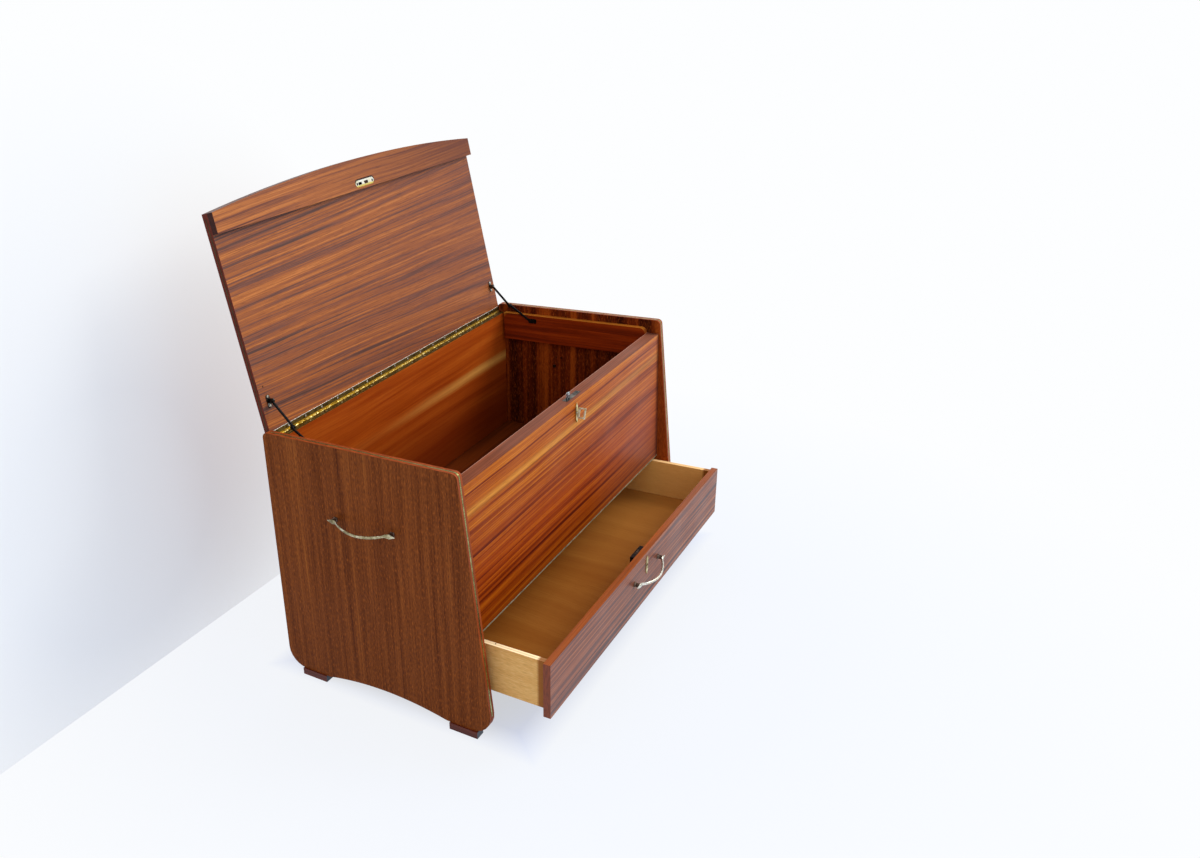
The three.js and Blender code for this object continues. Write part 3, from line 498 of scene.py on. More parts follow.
def side_board(inward, marks=()):
    """A side panel's veneer, with the inner face that looks inward."""
    return dict(
        along=Z_AXIS,
        across=Y_AXIS,
        tones=SIDE_TONES,
        pore_tone="32120A",
        lengths=(0.7, 1.1, 5.0),
        scales=(30.0, 82.0, 330.0),
        shares=(0.06, 0.46, 0.48),
        contrast=(0.31, 0.67),
        wander=0.01,
        seed=4.0,
        pores=0.6,
        pore_scales=(120.0, 760.0),
        flecks=("B86024", 0.5),
        gain=1.05,
        specular=0.06,
        edge="97461F",
        end="97461F",
        # Painted light: the inner face is lighter in front of the chest's front panel.
        inside=Inside(inward, INSIDE_TONES, past_from=-0.15, past_to=-0.156, painted_light_code="A44A18"),
        marks=marks,
    )


VENEERS = {
    "side_veneer": side_board(X_AXIS),
    "right_side_veneer": side_board(-X_AXIS, INNER_SIDE_HOLES),
    "front_veneer": dict(
        along=X_AXIS,
        across=Z_AXIS,
        tones=((0.0, "5E1800"), (0.2, "7C2E04"), (0.45, "A04A0C"), (0.75, "B65E12"), (1.0, "CC781C")),
        pore_tone="5A2006",
        lengths=(0.4, 0.9, 3.5),
        scales=(40.0, 140.0, 420.0),
        shares=(0.1, 0.58, 0.32),
        contrast=(0.37, 0.61),
        wander=0.01,
        seed=7.0,
        pores=0.35,
        gain=1.14,
        specular=0.07,
        edge="783F26",
        end="6A3018",
        streak=Streak(
            place=0.4345,
            width=0.0105,
            slant=-0.006,
            code="DE9838",
            strength=0.8,
            weak_end=0.3,
            strong_end=-0.1,
            weak_share=0.55,
        ),
        tints=(
            Shade(Z_AXIS, none=0.46, full=0.31, code="D8AE78"),
            Shade(Z_AXIS, none=0.29, full=0.18, code="E2FFFF"),
        ),
        shades=(
            # Painted reflection: a pale pink haze towards the right end.
            Shade(X_AXIS, none=0.05, full=0.44, code="B08878", strength=0.14),
            # Painted shade: darker towards the right end, beside the right side panel.
            Shade(X_AXIS, none=0.419, full=0.432, code="4A1E14", strength=0.7),
            # Painted highlight: a pale line along the top face's rear arris.
            Shade(Y_AXIS, none=-0.1334, full=-0.1322, code="D09A84", strength=0.8),
        ),
    ),
    "lip_veneer": dict(
        along=X_AXIS,
        across=LID_ACROSS,
        tones=((0.0, "64382E"), (0.22, "8A5036"), (0.5, "AE6434"), (0.8, "C07238"), (1.0, "D08042")),
        pore_tone="5A2C1C",
        lengths=(0.7, 1.4, 5.0),
        scales=(60.0, 150.0, 460.0),
        shares=(0.08, 0.52, 0.4),
        contrast=(0.36, 0.62),
        slope=-0.03,
        seed=9.0,
        pores=0.4,
        edge="5A2A18",
        end="3A140C",
        # Painted shade: the lip is darker towards the right.
        shades=(Shade(X_AXIS, none=-0.2, full=0.4, code="5C2818", strength=0.7),),
        # Painted shadow round the striker plate's recess.
        recess_shadow=RecessShadow(middle=0.008, level=STRIKER_LEVEL, half=0.0245, radius=0.0082),
    ),
    "lid_veneer": dict(
        along=X_AXIS,
        across=LID_ACROSS,
        tones=((0.0, "5C4036"), (0.22, "7C4E3E"), (0.48, "9C5934"), (0.78, "B46832"), (1.0, "CA7A3C")),
        pore_tone="562E22",
        lengths=(0.7, 1.2, 5.0),
        scales=(40.0, 135.0, 460.0),
        shares=(0.08, 0.5, 0.42),
        wander=0.015,
        fan=(0.35, LID_FAN_CENTRE),
        contrast=(0.38, 0.61),
        seed=2.0,
        gain=1.03,
        edge="5A2410",
        end="601E0C",
        # Painted shade: the lid is darker towards its right and its lower part.
        shades=(Shade(LID_SHADE_DIRECTION, none=-0.55, full=0.05, code="6E3A2A", strength=0.36),),
        # Painted shade in an old screw hole.
        marks=(Mark((-418.0, 263.0, 592.0), 2.2),),
    ),
    "inner_veneer": dict(
        along=X_AXIS,
        across=Z_AXIS,
        tones=((0.0, "862E04"), (0.3, "A0400C"), (0.6, "B65214"), (1.0, "CC6C20")),
        pore_tone="763008",
        scales=(25.0, 60.0, 260.0),
        contrast=(0.3, 0.7),
        wander=0.03,
        slope=-0.01,
        seed=11.0,
        pores=0.25,
        specular=0.1,
        edge="C07830",
        streak=Streak(
            place=0.388,
            width=0.016,
            slant=0.01,
            code="F0B458",
            strength=0.85,
            weak_end=-0.1,
            strong_end=0.3,
            weak_share=0.08,
        ),
        # Painted shade: the inner back is darker towards the bottom.
        shades=(Shade(Z_AXIS, none=0.40, full=0.25, code="641C04", strength=0.7),),
    ),
    # Painted shade: a darker copy of the inner wood for the chest's floor.
    "shaded_inner_floor": dict(
        along=X_AXIS,
        across=Y_AXIS,
        tones=((0.0, "4A1A06"), (0.5, "602608"), (1.0, "78360E")),
        pore_tone="3A1206",
        scales=(25.0, 60.0, 260.0),
        wander=0.03,
        seed=31.0,
        pores=0.25,
        specular=0.1,
    ),
    "cleat_veneer": dict(
        along=Y_AXIS,
        across=Z_AXIS,
        tones=((0.0, "621C06"), (0.5, "862C06"), (1.0, "A6400E")),
        pore_tone="3E1004",
        scales=(40.0, 90.0, 280.0),
        wander=0.01,
        seed=29.0,
        pores=0.4,
        specular=0.1,
        edge="B86A20",
        end="A4541C",
        # Painted light: golden at the cleat's rear top corner.
        shades=(Shade(CLEAT_LIGHT_DIRECTION, none=0.503, full=0.511, code="D08A30", strength=0.7),),
    ),
    "dark_wood": dict(
        along=Y_AXIS,
        across=Z_AXIS,
        tones=((0.0, "3C1208"), (0.5, "5E2212"), (1.0, "823A24")),
        pore_tone="220A06",
        scales=(90.0, 220.0, 500.0),
        wander=0.004,
        seed=13.0,
        pores=0.4,
        roughness=(0.25, 0.4),
        specular=0.25,
        # Painted reflection: the end faces are bluish grey.
        end="3C444E",
    ),
    "drawer_veneer": dict(
        along=X_AXIS,
        across=Z_AXIS,
        tones=((0.0, "4E3636"), (0.25, "6C443C"), (0.5, "8A5038"), (0.8, "A25E40"), (1.0, "B6724C")),
        pore_tone="4A2A26",
        lengths=(0.6, 1.3, 4.0),
        scales=(60.0, 210.0, 480.0),
        shares=(0.06, 0.54, 0.4),
        contrast=(0.39, 0.6),
        wander=0.008,
        seed=17.0,
        pores=0.35,
        gain=0.88,
        roughness=(0.34, 0.45),
        specular=0.2,
        edge="A45010",
        end="7E3816",
        # Painted reflection: lighter and redder towards the left end.
        shades=(Shade(X_AXIS, none=-0.05, full=-0.44, code="C07C66", strength=0.14),),
    ),
    "pale_wood": dict(
        along=Y_AXIS,
        across=Z_AXIS,
        tones=((0.0, "C68A42"), (0.5, "D29C54"), (1.0, "E0B068")),
        pore_tone="9A6A30",
        scales=(20.0, 50.0, 200.0),
        contrast=(0.2, 0.8),
        wander=0.04,
        seed=19.0,
        pores=0.3,
        pore_scales=(90.0, 500.0),
        flecks=("E4BC7C", 0.4),
        gain=1.25,
        roughness=(0.5, 0.65),
        edge="F4DCAE",
        end="B07A40",
        shades=(
            # Painted light: the right drawer side is lighter.
            Shade(X_AXIS, none=0.36, full=0.4, code="E2AC5C", strength=0.6),
            Shade(Y_AXIS, none=-0.2825, full=-0.2875, code="84480C", strength=0.9),
        ),
        marks=(Mark((-413.0, -201.3, 186.5), 1.7),),
    ),
    "back_board": dict(
        along=X_AXIS,
        across=Z_AXIS,
        tones=((0.0, "B88448"), (0.5, "CC9C60"), (1.0, "DCB078")),
        pore_tone="A07038",
        scales=(30.0, 90.0, 300.0),
        contrast=(0.3, 0.7),
        seed=21.0,
        pores=0.3,
        roughness=(0.5, 0.65),
        edge="F0D4A0",
        end="B07A40",
    ),
    "plywood": dict(
        along=Y_AXIS,
        across=X_AXIS,
        tones=((0.0, "8E4C16"), (0.5, "A06022"), (1.0, "B67632")),
        pore_tone="7C4410",
        scales=(9.0, 26.0, 300.0),
        contrast=(0.2, 0.8),
        wander=0.12,
        seed=23.0,
        pores=0.4,
        gain=1.04,
        roughness=(0.45, 0.6),
        specular=0.08,
        edge="C89860",
        end="C89860",
        # Painted light: the drawer bottom is lighter towards the right.
        shades=(Shade(X_AXIS, none=0.0, full=0.43, code="C48C44", strength=0.38),),
    ),
}
METALS = {
    "inlay_metal": dict(tones=((0.0, "62643A"), (0.5, "8C9058"), (1.0, "C2C68E")), wear=0.5),
    "dull_inlay": dict(tones=((0.0, "26261A"), (0.5, "3E3E2A"), (1.0, "56563C")), wear=0.5),
    "strip_metal": dict(
        tones=((0.0, "74765C"), (0.5, "9A9C80"), (1.0, "C4C6AC")),
        wear=0.5,
        metallic=0.3,
    ),
    "nickel": dict(
        tones=((0.0, "949080"), (0.5, "D0CEBE"), (1.0, "F6F6F0")),
        roughness=(0.16, 0.32),
        scale=90.0,
    ),
    # Painted shade: a darker, browner copy of nickel for the side handles.
    "shaded_side_nickel": dict(
        tones=((0.0, "6A6044"), (0.5, "A89E7C"), (1.0, "E4E0CC")),
        roughness=(0.18, 0.34),
        scale=90.0,
    ),
    "striker_nickel": dict(
        tones=((0.0, "C8C49C"), (0.5, "E4E2CC"), (1.0, "F8F8F4")),
        roughness=(0.3, 0.5),
        scale=150.0,
        metallic=0.6,
        rims=(Shade(LID_ACROSS, none=STRIKER_LEVEL - 0.003, full=STRIKER_LEVEL - 0.006, code="D2BC58"),),
    ),
    # Painted reflection: brown tones for the wood that the posts reflect.
    "post_reflection_metal": dict(
        tones=((0.0, "2E1C14"), (0.5, "5E4A3C"), (1.0, "A09484")),
        roughness=(0.3, 0.5),
        scale=220.0,
        metallic=0.7,
    ),
    "key_metal": dict(
        tones=((0.0, "867C4C"), (0.5, "CAC294"), (1.0, "FFFFF6")),
        roughness=(0.2, 0.35),
        scale=240.0,
        metallic=0.25,
    ),
    "brass": dict(tones=((0.0, "3A2A08"), (0.5, "AC8822"), (1.0, "FFF0A8")), scale=240.0),
    "leaf_brass": dict(
        tones=((0.0, "2E2412"), (0.5, "5E4C22"), (1.0, "8C783C")),
        roughness=(0.35, 0.55),
        scale=90.0,
        # Painted highlight next to the knuckles, a band of painted shade below the axis, and a painted
        # highlight along the leaf's edge.
        rims=(
            Shade(LID_ACROSS, none=LEAF_EDGE - 0.0066, full=LEAF_EDGE - 0.0076, code="B8942A"),
            Shade(LID_ACROSS, none=LEAF_EDGE - 0.0112, full=LEAF_EDGE - 0.0118, code="5A4418"),
            Shade(LID_ACROSS, none=LEAF_EDGE, full=LEAF_EDGE + 0.0004, code="D8D6C8"),
        ),
    ),
    "pale_brass": dict(tones=((0.0, "9C9260"), (0.5, "CFC48A"), (1.0, "E6DDAC"))),
    "hook_steel": dict(
        tones=((0.0, "040606"), (0.42, "2A3032"), (0.6, "A8B4B8"), (1.0, "F4FAFC")),
        roughness=(0.15, 0.3),
        scale=300.0,
        metallic=0.6,
    ),
    "lock_steel": dict(
        tones=((0.0, "1E1A18"), (0.5, "423A34"), (1.0, "7E766A")),
        roughness=(0.3, 0.5),
    ),
    "dark_steel": dict(tones=((0.0, "1A1816"), (0.5, "3A3834"), (1.0, "8A8C88")), scale=150.0),
    "black_steel": dict(
        tones=((0.0, "040404"), (0.5, "0C0A0A"), (1.0, "1C1A18")),
        roughness=(0.4, 0.6),
        scale=200.0,
        metallic=0.0,
        specular=0.12,
    ),
}
materials = {name: veneer(name, **values) for name, values in VENEERS.items()}
materials.update((name, metal(name, **values)) for name, values in METALS.items())

# Nodes with a material of their own; all others take the one named after their slot.
repainted = {
    "lid_lip": "lip_veneer",
    "left_cleat": "cleat_veneer",
    "right_cleat": "cleat_veneer",
    "drawer_back": "back_board",
    "chest_floor": "shaded_inner_floor",
    "right_side_panel": "right_side_veneer",
    "lock_hook": "hook_steel",
    "front_edge_strip": "strip_metal",
    "striker_plate": "striker_nickel",
    "striker_screw_a": "dark_steel",
    "striker_screw_b": "dark_steel",
    "left_stay_lid_bracket": "dark_steel",
    "right_stay_lid_bracket": "dark_steel",
}
for name, node in nodes.items():
    for slot in node.material_slots:
        kind = repainted.get(name, slot.material.name.split(".")[0])
        slot.material = materials[kind]


def scaled(values):
    return tuple(value * MM for value in values)


def mesh_piece(name, fill, material, body, place=None):
    """A named piece from mesh code, with a material, that rides a body."""
    mesh = bpy.data.meshes.new(name)
    work = bmesh.new()
    fill(work)
    if place is not None:
        bmesh.ops.transform(work, matrix=place, verts=work.verts)
    bmesh.ops.recalc_face_normals(work, faces=work.faces)
    work.to_mesh(mesh)
    work.free()
    item = bpy.data.objects.new(name, mesh)
    bpy.context.scene.collection.objects.link(item)
    item.data.materials.append(materials[material])
    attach(item, body)
    return item


def soften(item, width, segments=2, angle=40.0):
    """Rounds the edges; the width is in mm."""
    bevel = item.modifiers.new("bevel", "BEVEL")
    bevel.width = width * MM
    bevel.segments = segments
    bevel.limit_method = "ANGLE"
    bevel.angle_limit = math.radians(angle)


def smooth(item, angle=35.0):
    item.data.shade_smooth()
    edge = item.modifiers.new("edges", "EDGE_SPLIT")
    edge.split_angle = math.radians(angle)


def facing(point, direction):
    """A place at a point with its Z along a direction."""
    return Matrix.Translation(point) @ direction.to_track_quat("Z", "Y").to_matrix().to_4x4()


def axes_at(point, x, y, z):
    """A place at a point with the given axes."""
    place = Matrix((x, y, z)).transposed().to_4x4()
    place.translation = point
    return place


# The corners of a square of half-width 1, in order round it.
SQUARE = ((-1, -1), (1, -1), (1, 1), (-1, 1))


def ring_between(work, first, second):
    """A band of faces between two rings with as many points."""
    for index in range(len(first)):
        after = (index + 1) % len(first)
        work.faces.new((first[index], first[after], second[after], second[index]))


def skin(work, rings):
    """Closes a stack of rings with bands and two end faces."""
    for lower, upper in zip(rings, rings[1:]):
        ring_between(work, lower, upper)
    work.faces.new(rings[0])
    work.faces.new(rings[-1])


def block(work, low, high):
    """A box between two corners in mm."""
    low, high = scaled(low), scaled(high)
    corners = [
        work.verts.new((x, y, z))
        for x in (low[0], high[0])
        for y in (low[1], high[1])
        for z in (low[2], high[2])
    ]
    for face in ((0, 1, 3, 2), (4, 6, 7, 5), (0, 4, 5, 1), (2, 3, 7, 6), (0, 2, 6, 4), (1, 5, 7, 3)):
        work.faces.new([corners[index] for index in face])


def lathe(work, profile, segments=20):
    """Turns (radius, height) pairs about Z."""
    rings = []
    for radius, height in profile:
        ring = []
        for index in range(segments):
            angle = math.tau * index / segments
            ring.append(work.verts.new((radius * math.cos(angle), radius * math.sin(angle), height)))
        rings.append(ring)
    skin(work, rings)


def put_in_place(work, start, place):
    """Moves all points made since a count."""
    work.verts.ensure_lookup_table()
    bmesh.ops.transform(work, matrix=place, verts=work.verts[start:])


def rod(work, start, end, radius, segments=12):
    """A closed cylinder between two points, in mm."""
    begin, stop = Vector(start) * MM, Vector(end) * MM
    made = len(work.verts)
    lathe(work, ((radius * MM, 0.0), (radius * MM, (stop - begin).length)), segments)
    put_in_place(work, made, facing(begin, stop - begin))


# A slotted screw head, in shares of its radius and rise: radius and height of each level.
HEAD_SHARES = ((1.0, -0.2), (1.0, 0.3), (0.97, 0.4))
DOME_SHARES = ((0.98, 0.4), (0.82, 0.8), (0.5, 1.0))
SLOT_SHARE = 0.13
DOME_STEPS = 12


def screw(work, place, radius, rise, slot_turn):
    """A disc under two halves of a low dome, with the slot between them; sizes in mm."""
    radius, rise = radius * MM, rise * MM
    made = len(work.verts)
    lathe(work, [(radius * wide, rise * high) for wide, high in HEAD_SHARES])
    for side in (-1.0, 1.0):
        levels = []
        for share, level in DOME_SHARES:
            reach = math.asin(SLOT_SHARE / share)
            points = []
            for index in range(DOME_STEPS + 1):
                angle = reach + (math.pi - 2.0 * reach) * index / DOME_STEPS
                x = radius * share * math.cos(angle)
                y = side * radius * share * math.sin(angle)
                points.append(work.verts.new((x, y, level * rise)))
            levels.append(points)
        skin(work, levels)
    put_in_place(work, made, place @ Matrix.Rotation(slot_turn, 4, "Z"))


def screw_heads(name, spots, up, radius, rise, material, body, place=None):
    """One piece of several heads; spots holds points in mm with the turn of each slot."""

    def fill(work):
        for point, turn in spots:
            screw(work, facing(Vector(scaled(point)), up), radius, rise, turn)

    mesh_piece(name, fill, material, body, place)


# Bow handles, in mm: X runs along the handle, Y up the board and Z away from it.
TIP_REACH = box_mm("drawer_handle")[1].x
POST_REACH = middle_mm("drawer_handle_screw_a").x
LEAF_LENGTH = TIP_REACH - POST_REACH
BEND_OVERLAP = 4.0
BEND_REACH = POST_REACH - LEAF_LENGTH + BEND_OVERLAP
BOW_BASE = 11.6
BOW_RISE = 15.2
BOW_DROOP = 6.2
BOW_POWER = 0.78
TIP_FALL = 1.5
BAR_HALVES = (2.7, 2.3)
LEAF_HALVES = (4.8, 1.5)
TIP_HALVES = (0.4, 0.6)
BOW_STEPS = 72
BOW_SIDES = 12
POST_SINK = 1.0
POST_TOP = BOW_BASE - POST_SINK
POST_LEVELS = ((4.4, 0.05), (4.0, 1.5), (3.2, 3.5), (3.0, POST_TOP))
POST_EDGE_WIDTH = 0.4


def between(first, last, share):
    return [a + (b - a) * share for a, b in zip(first, last)]


def bow_section(x):
    """The bow's height, its sag, and its half-width and half-thickness at a place along it."""
    reach = abs(x)
    swing = min(1.0, reach / BEND_REACH)
    bulge = math.cos(swing * math.pi / 2.0) ** BOW_POWER
    level = BOW_BASE + BOW_RISE * bulge
    past_post = (reach - POST_REACH) / LEAF_LENGTH
    if past_post > 0.0:
        return level - TIP_FALL * past_post, 0.0, *between(LEAF_HALVES, TIP_HALVES, past_post)
    leaf_share = max(0.0, 1.0 + past_post)
    return level, -BOW_DROOP * bulge, *between(BAR_HALVES, LEAF_HALVES, leaf_share)


def fill_bow(work):
    rings = []
    for step in range(BOW_STEPS + 1):
        x = -TIP_REACH + 2.0 * TIP_REACH * step / BOW_STEPS
        level, sag, wide, thick = bow_section(x)
        ring = []
        for index in range(BOW_SIDES):
            angle = math.tau * index / BOW_SIDES
            point = (x, sag + wide * math.cos(angle), level + thick * math.sin(angle))
            ring.append(work.verts.new(scaled(point)))
        rings.append(ring)
    skin(work, rings)


def fill_posts(work):
    for side in (-1.0, 1.0):
        rings = []
        for half, height in POST_LEVELS:
            corners = [(side * POST_REACH + a * half, b * half, height) for a, b in SQUARE]
            rings.append([work.verts.new(scaled(corner)) for corner in corners])
        skin(work, rings)


def bow_handle(name, node, body, along, outward, material):
    """A bow between two leaf-shaped ends, on two square posts, for a handle's node."""
    low, high = box_mm(node)
    foot = (low + high) / 2.0 - outward * abs((high - low).dot(outward)) / 2.0
    place = axes_at(foot * MM, along, Z_AXIS, outward)
    bow = mesh_piece(name, fill_bow, material, body, place)
    smooth(bow)
    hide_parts(node)
    posts = mesh_piece(name + "_posts", fill_posts, "post_reflection_metal", body, place)
    soften(posts, POST_EDGE_WIDTH)


bow_handle("drawer_bow", "drawer_handle", "drawer", X_AXIS, -Y_AXIS, "nickel")
bow_handle("left_bow", "left_handle", "chest", -Y_AXIS, -X_AXIS, "shaded_side_nickel")
bow_handle("right_bow", "right_handle", "chest", Y_AXIS, X_AXIS, "shaded_side_nickel")

# The key, in mm from its turning point in the lock: Y runs into the lock.
KEY_PLACE = Matrix.Translation(Vector(joint("key_turn")["pos_m"]))
KEY_LEAN = math.radians(20.0)
KEY_BOW_FRONT = -33.27
KEY_BOW_BACK = -17.37
KEY_BOW_HALF = 10.8
KEY_BOW_HALF_THICKNESS = 1.1
KEY_FRONT_WIRE = 3.7
KEY_BACK_WIRE = 4.2
KEY_SIDE_WIRE = 3.0
KEY_SHANK_FRONT = -17.17
KEY_SHANK_BACK = 2.43
KEY_SHANK_RADIUS = 1.9
KEY_BIT_LOW = (-0.9, -1.97, -7.5)
KEY_BIT_HIGH = (0.9, 1.43, -0.5)
KEY_EDGE_WIDTH = 0.5


def rectangle(front, back, half):
    return (front, -half), (back, -half), (back, half), (front, half)


def key_shape(work):
    """The key: a square bow with a square hole, a shank and the bit."""
    outer = rectangle(KEY_BOW_FRONT, KEY_BOW_BACK, KEY_BOW_HALF)
    inner = rectangle(
        KEY_BOW_FRONT + KEY_FRONT_WIRE, KEY_BOW_BACK - KEY_BACK_WIRE, KEY_BOW_HALF - KEY_SIDE_WIRE
    )
    rings = []
    for x in (-KEY_BOW_HALF_THICKNESS, KEY_BOW_HALF_THICKNESS):
        for loop in (outer, inner):
            rings.append([work.verts.new(scaled((x, y, z))) for y, z in loop])
    for first, second in ((0, 1), (2, 3), (0, 2), (1, 3)):
        ring_between(work, rings[first], rings[second])
    bmesh.ops.transform(work, matrix=Matrix.Rotation(KEY_LEAN, 4, "Y"), verts=work.verts)
    rod(work, (0.0, KEY_SHANK_FRONT, 0.0), (0.0, KEY_SHANK_BACK, 0.0), KEY_SHANK_RADIUS)
    block(work, KEY_BIT_LOW, KEY_BIT_HIGH)


visual_key = mesh_piece("key_bow", key_shape, "key_metal", "key", KEY_PLACE)
soften(visual_key, KEY_EDGE_WIDTH)
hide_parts("key")

# The piano hinge, in mm from its axis; each half is drawn with its leaf lying level.
HINGE_HALF = box_mm("hinge_pin")[1].x
HINGE_ROD_RADIUS = 1.1
KNUCKLE_COUNT = 80
KNUCKLE_PITCH = 2.0 * HINGE_HALF / KNUCKLE_COUNT
KNUCKLE_GAP = 1.3
KNUCKLE_RADIUS = 2.6
LEAF_EDGE_WIDTH = 0.25
HINGE_SCREW_PITCH = 50.8
HINGE_SCREW_TURN = 0.7
HINGE_SCREW_RADIUS = 2.3
HINGE_SCREW_RISE = 0.25


class HingeHalf(NamedTuple):
    """One leaf with its knuckles and screws; far and near are the leaf's edges along Y."""

    name: str
    node: str
    body: str
    place: Matrix
    first_knuckle: int
    far: float
    near: float
    bottom: float
    top: float
    screw_line: float
    screw_level: float
    screw_up: Vector


LOWER_HALF = HingeHalf(
    name="hinge_lower",
    node="hinge_back_leaf",
    body="chest",
    place=HINGE_PLACE,
    first_knuckle=0,
    far=-12.44,
    near=-1.64,
    bottom=-1.5,
    top=-0.3,
    screw_line=-7.84,
    screw_level=-0.3,
    screw_up=Z_AXIS,
)
UPPER_HALF = HingeHalf(
    name="hinge_upper",
    node="hinge_lid_leaf",
    body="lid",
    place=LID_PLACE,
    first_knuckle=1,
    far=-12.4,
    near=-1.6,
    bottom=0.3,
    top=1.45,
    screw_line=-7.0,
    screw_level=0.3,
    screw_up=-Z_AXIS,
)


def hinge_screw_spots(half):
    count = int(2.0 * HINGE_HALF / HINGE_SCREW_PITCH)
    start = -HINGE_SCREW_PITCH * (count - 1) / 2.0
    return [
        ((start + index * HINGE_SCREW_PITCH, half.screw_line, half.screw_level), HINGE_SCREW_TURN * index)
        for index in range(count)
    ]


def build_hinge_half(half):
    """The leaf, the knuckles and the screws of one half, in this order."""

    def leaf(work):
        block(work, (-HINGE_HALF, half.far, half.bottom), (HINGE_HALF, half.near, half.top))

    def knuckles(work):
        for index in range(half.first_knuckle, KNUCKLE_COUNT, 2):
            low = -HINGE_HALF + index * KNUCKLE_PITCH + KNUCKLE_GAP / 2.0
            high = low + KNUCKLE_PITCH - KNUCKLE_GAP
            rod(work, (low, 0.0, 0.0), (high, 0.0, 0.0), KNUCKLE_RADIUS)

    leaf_piece = mesh_piece(half.name + "_leaf", leaf, "leaf_brass", half.body, half.place)
    soften(leaf_piece, LEAF_EDGE_WIDTH)
    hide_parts(half.node)
    mesh_piece(half.name + "_knuckles", knuckles, "brass", half.body, half.place)
    screw_heads(
        half.name + "_screws",
        hinge_screw_spots(half),
        half.screw_up,
        HINGE_SCREW_RADIUS,
        HINGE_SCREW_RISE,
        "nickel",
        half.body,
        half.place,
    )


def hinge_rod(work):
    rod(work, (-HINGE_HALF, 0.0, 0.0), (HINGE_HALF, 0.0, 0.0), HINGE_ROD_RADIUS)


build_hinge_half(LOWER_HALF)
build_hinge_half(UPPER_HALF)
pin = mesh_piece("hinge_rod", hinge_rod, "lock_steel", "chest", HINGE_PLACE)
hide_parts("hinge_pin")

# Screws under the lid that hold the stays' brackets, in the lid's own axes.
BRACKET_X = 414.4
BRACKET_FACE = -0.2
BRACKET_SCREWS = ((56.9, 0.4), (75.1, 1.3))
BRACKET_SCREW_RADIUS = 2.9
BRACKET_SCREW_RISE = 1.3
for side, sign in (("left", -1.0), ("right", 1.0)):
    screw_heads(
        side + "_bracket_screws",
        [((sign * BRACKET_X, -reach, BRACKET_FACE), turn) for reach, turn in BRACKET_SCREWS],
        -Z_AXIS,
        BRACKET_SCREW_RADIUS,
        BRACKET_SCREW_RISE,
        "nickel",
        "lid",
        LID_PLACE,
    )

# Pins at both ends of each escutcheon; the chest's one leans with the front panel.
ESCUTCHEON_THICKNESS = 1.5
PIN_REACH = 18.6
PIN_RADIUS = 1.1
PIN_RISE = 0.4
for name, node, body in (
    ("chest_pins", "chest_escutcheon", "chest"),
    ("drawer_pins", "drawer_escutcheon", "drawer"),
):
    low, high = box_mm(node)
    lean_share = (high.y - low.y - ESCUTCHEON_THICKNESS) / (high.z - low.z)
    face = (low + high) / 2.0 - Y_AXIS * ESCUTCHEON_THICKNESS / 2.0
    run = (Z_AXIS + Y_AXIS * lean_share) * PIN_REACH
    ends = ((face - run, 0.0), (face + run, 0.0))
    screw_heads(name, ends, -Y_AXIS, PIN_RADIUS, PIN_RISE, "pale_brass", body)

# Screws at both ends of the chest lock's plate: each one's reach from its middle, and its turn.
LOCK_SCREWS = ((-25.8, 0.5), (25.8, 1.2))
LOCK_SCREW_RADIUS = 2.6
LOCK_SCREW_RISE = 0.4
lock_middle = middle_mm("chest_lock_plate")
lock_top = box_mm("chest_lock_plate")[1].z
lock_spots = [((lock_middle.x + reach, lock_middle.y, lock_top), turn) for reach, turn in LOCK_SCREWS]
screw_heads(
    "lock_plate_screws", lock_spots, Z_AXIS, LOCK_SCREW_RADIUS, LOCK_SCREW_RISE, "dark_steel", "chest"
)

# Inlay strips in the lid's ends, in the lid's own axes and in mm.
LID_HALF_WIDTH = box_mm("lid_board")[1].x
STRIP_SEAT = 0.1
STRIP_RISE = 0.2
STRIP_FRONT = -404.0
STRIP_BACK = -6.0
STRIP_BOTTOM = 6.6
STRIP_TOP = 8.2


def lid_strip(sign):
    def fill(work):
        low, high = sorted((sign * (LID_HALF_WIDTH - STRIP_SEAT), sign * (LID_HALF_WIDTH + STRIP_RISE)))
        block(work, (low, STRIP_FRONT, STRIP_BOTTOM), (high, STRIP_BACK, STRIP_TOP))

    return fill


for side, sign in (("left", -1.0), ("right", 1.0)):
    mesh_piece(side + "_lid_inlay", lid_strip(sign), "dull_inlay", "lid", LID_PLACE)

# Floor and wall, in metres: pale near the chest and plain white further off.
SHEET_REACH = 40.0
WALL_Y = 0.51
SHEET_ROUGHNESS = 0.8
SHEET_SPECULAR = 0.1
GLOW_CODE = "FDFEFF"
FLOOR_CODE = "B8D0FC"
FLOOR_CENTRE = (0.0, 0.0, 0.3)
FLOOR_WHITE_FROM = 0.7
FLOOR_WHITE_TO = 1.4
FLOOR_LEAST_WHITE = 0.87
# Painted shadow: a darker blue for the floor under the chest.
UNDER_SHADOW_CODE = "5C94FF"
UNDER_HALF_WIDTH = 0.435
UNDER_HALF_DEPTH = 0.27
UNDER_FADE = 0.035
UNDER_WHITE = 0.7
WALL_CODE = "F4F8F6"
WALL_CLOUD_CODE = "D8DCE4"
WALL_CLOUD_SCALE = 2.0
WALL_CLOUD_SHARE = 0.04
# Painted shadow: the wall is greyest about this spot beside the lid.
WALL_SHADOW_SPOT = (-0.6, WALL_Y, 0.35)
WALL_WHITE_FROM = 0.25
WALL_WHITE_TO = 0.85
WALL_LEAST_WHITE = 0.43


def whitened(s, share):
    """The shader's surface mixed with plain white light."""
    glow = s.tree.nodes.new("ShaderNodeEmission")
    glow.inputs["Color"].default_value = linear(GLOW_CODE)
    return s.mix_shaders(share, s.bsdf.outputs[0], glow.outputs[0])


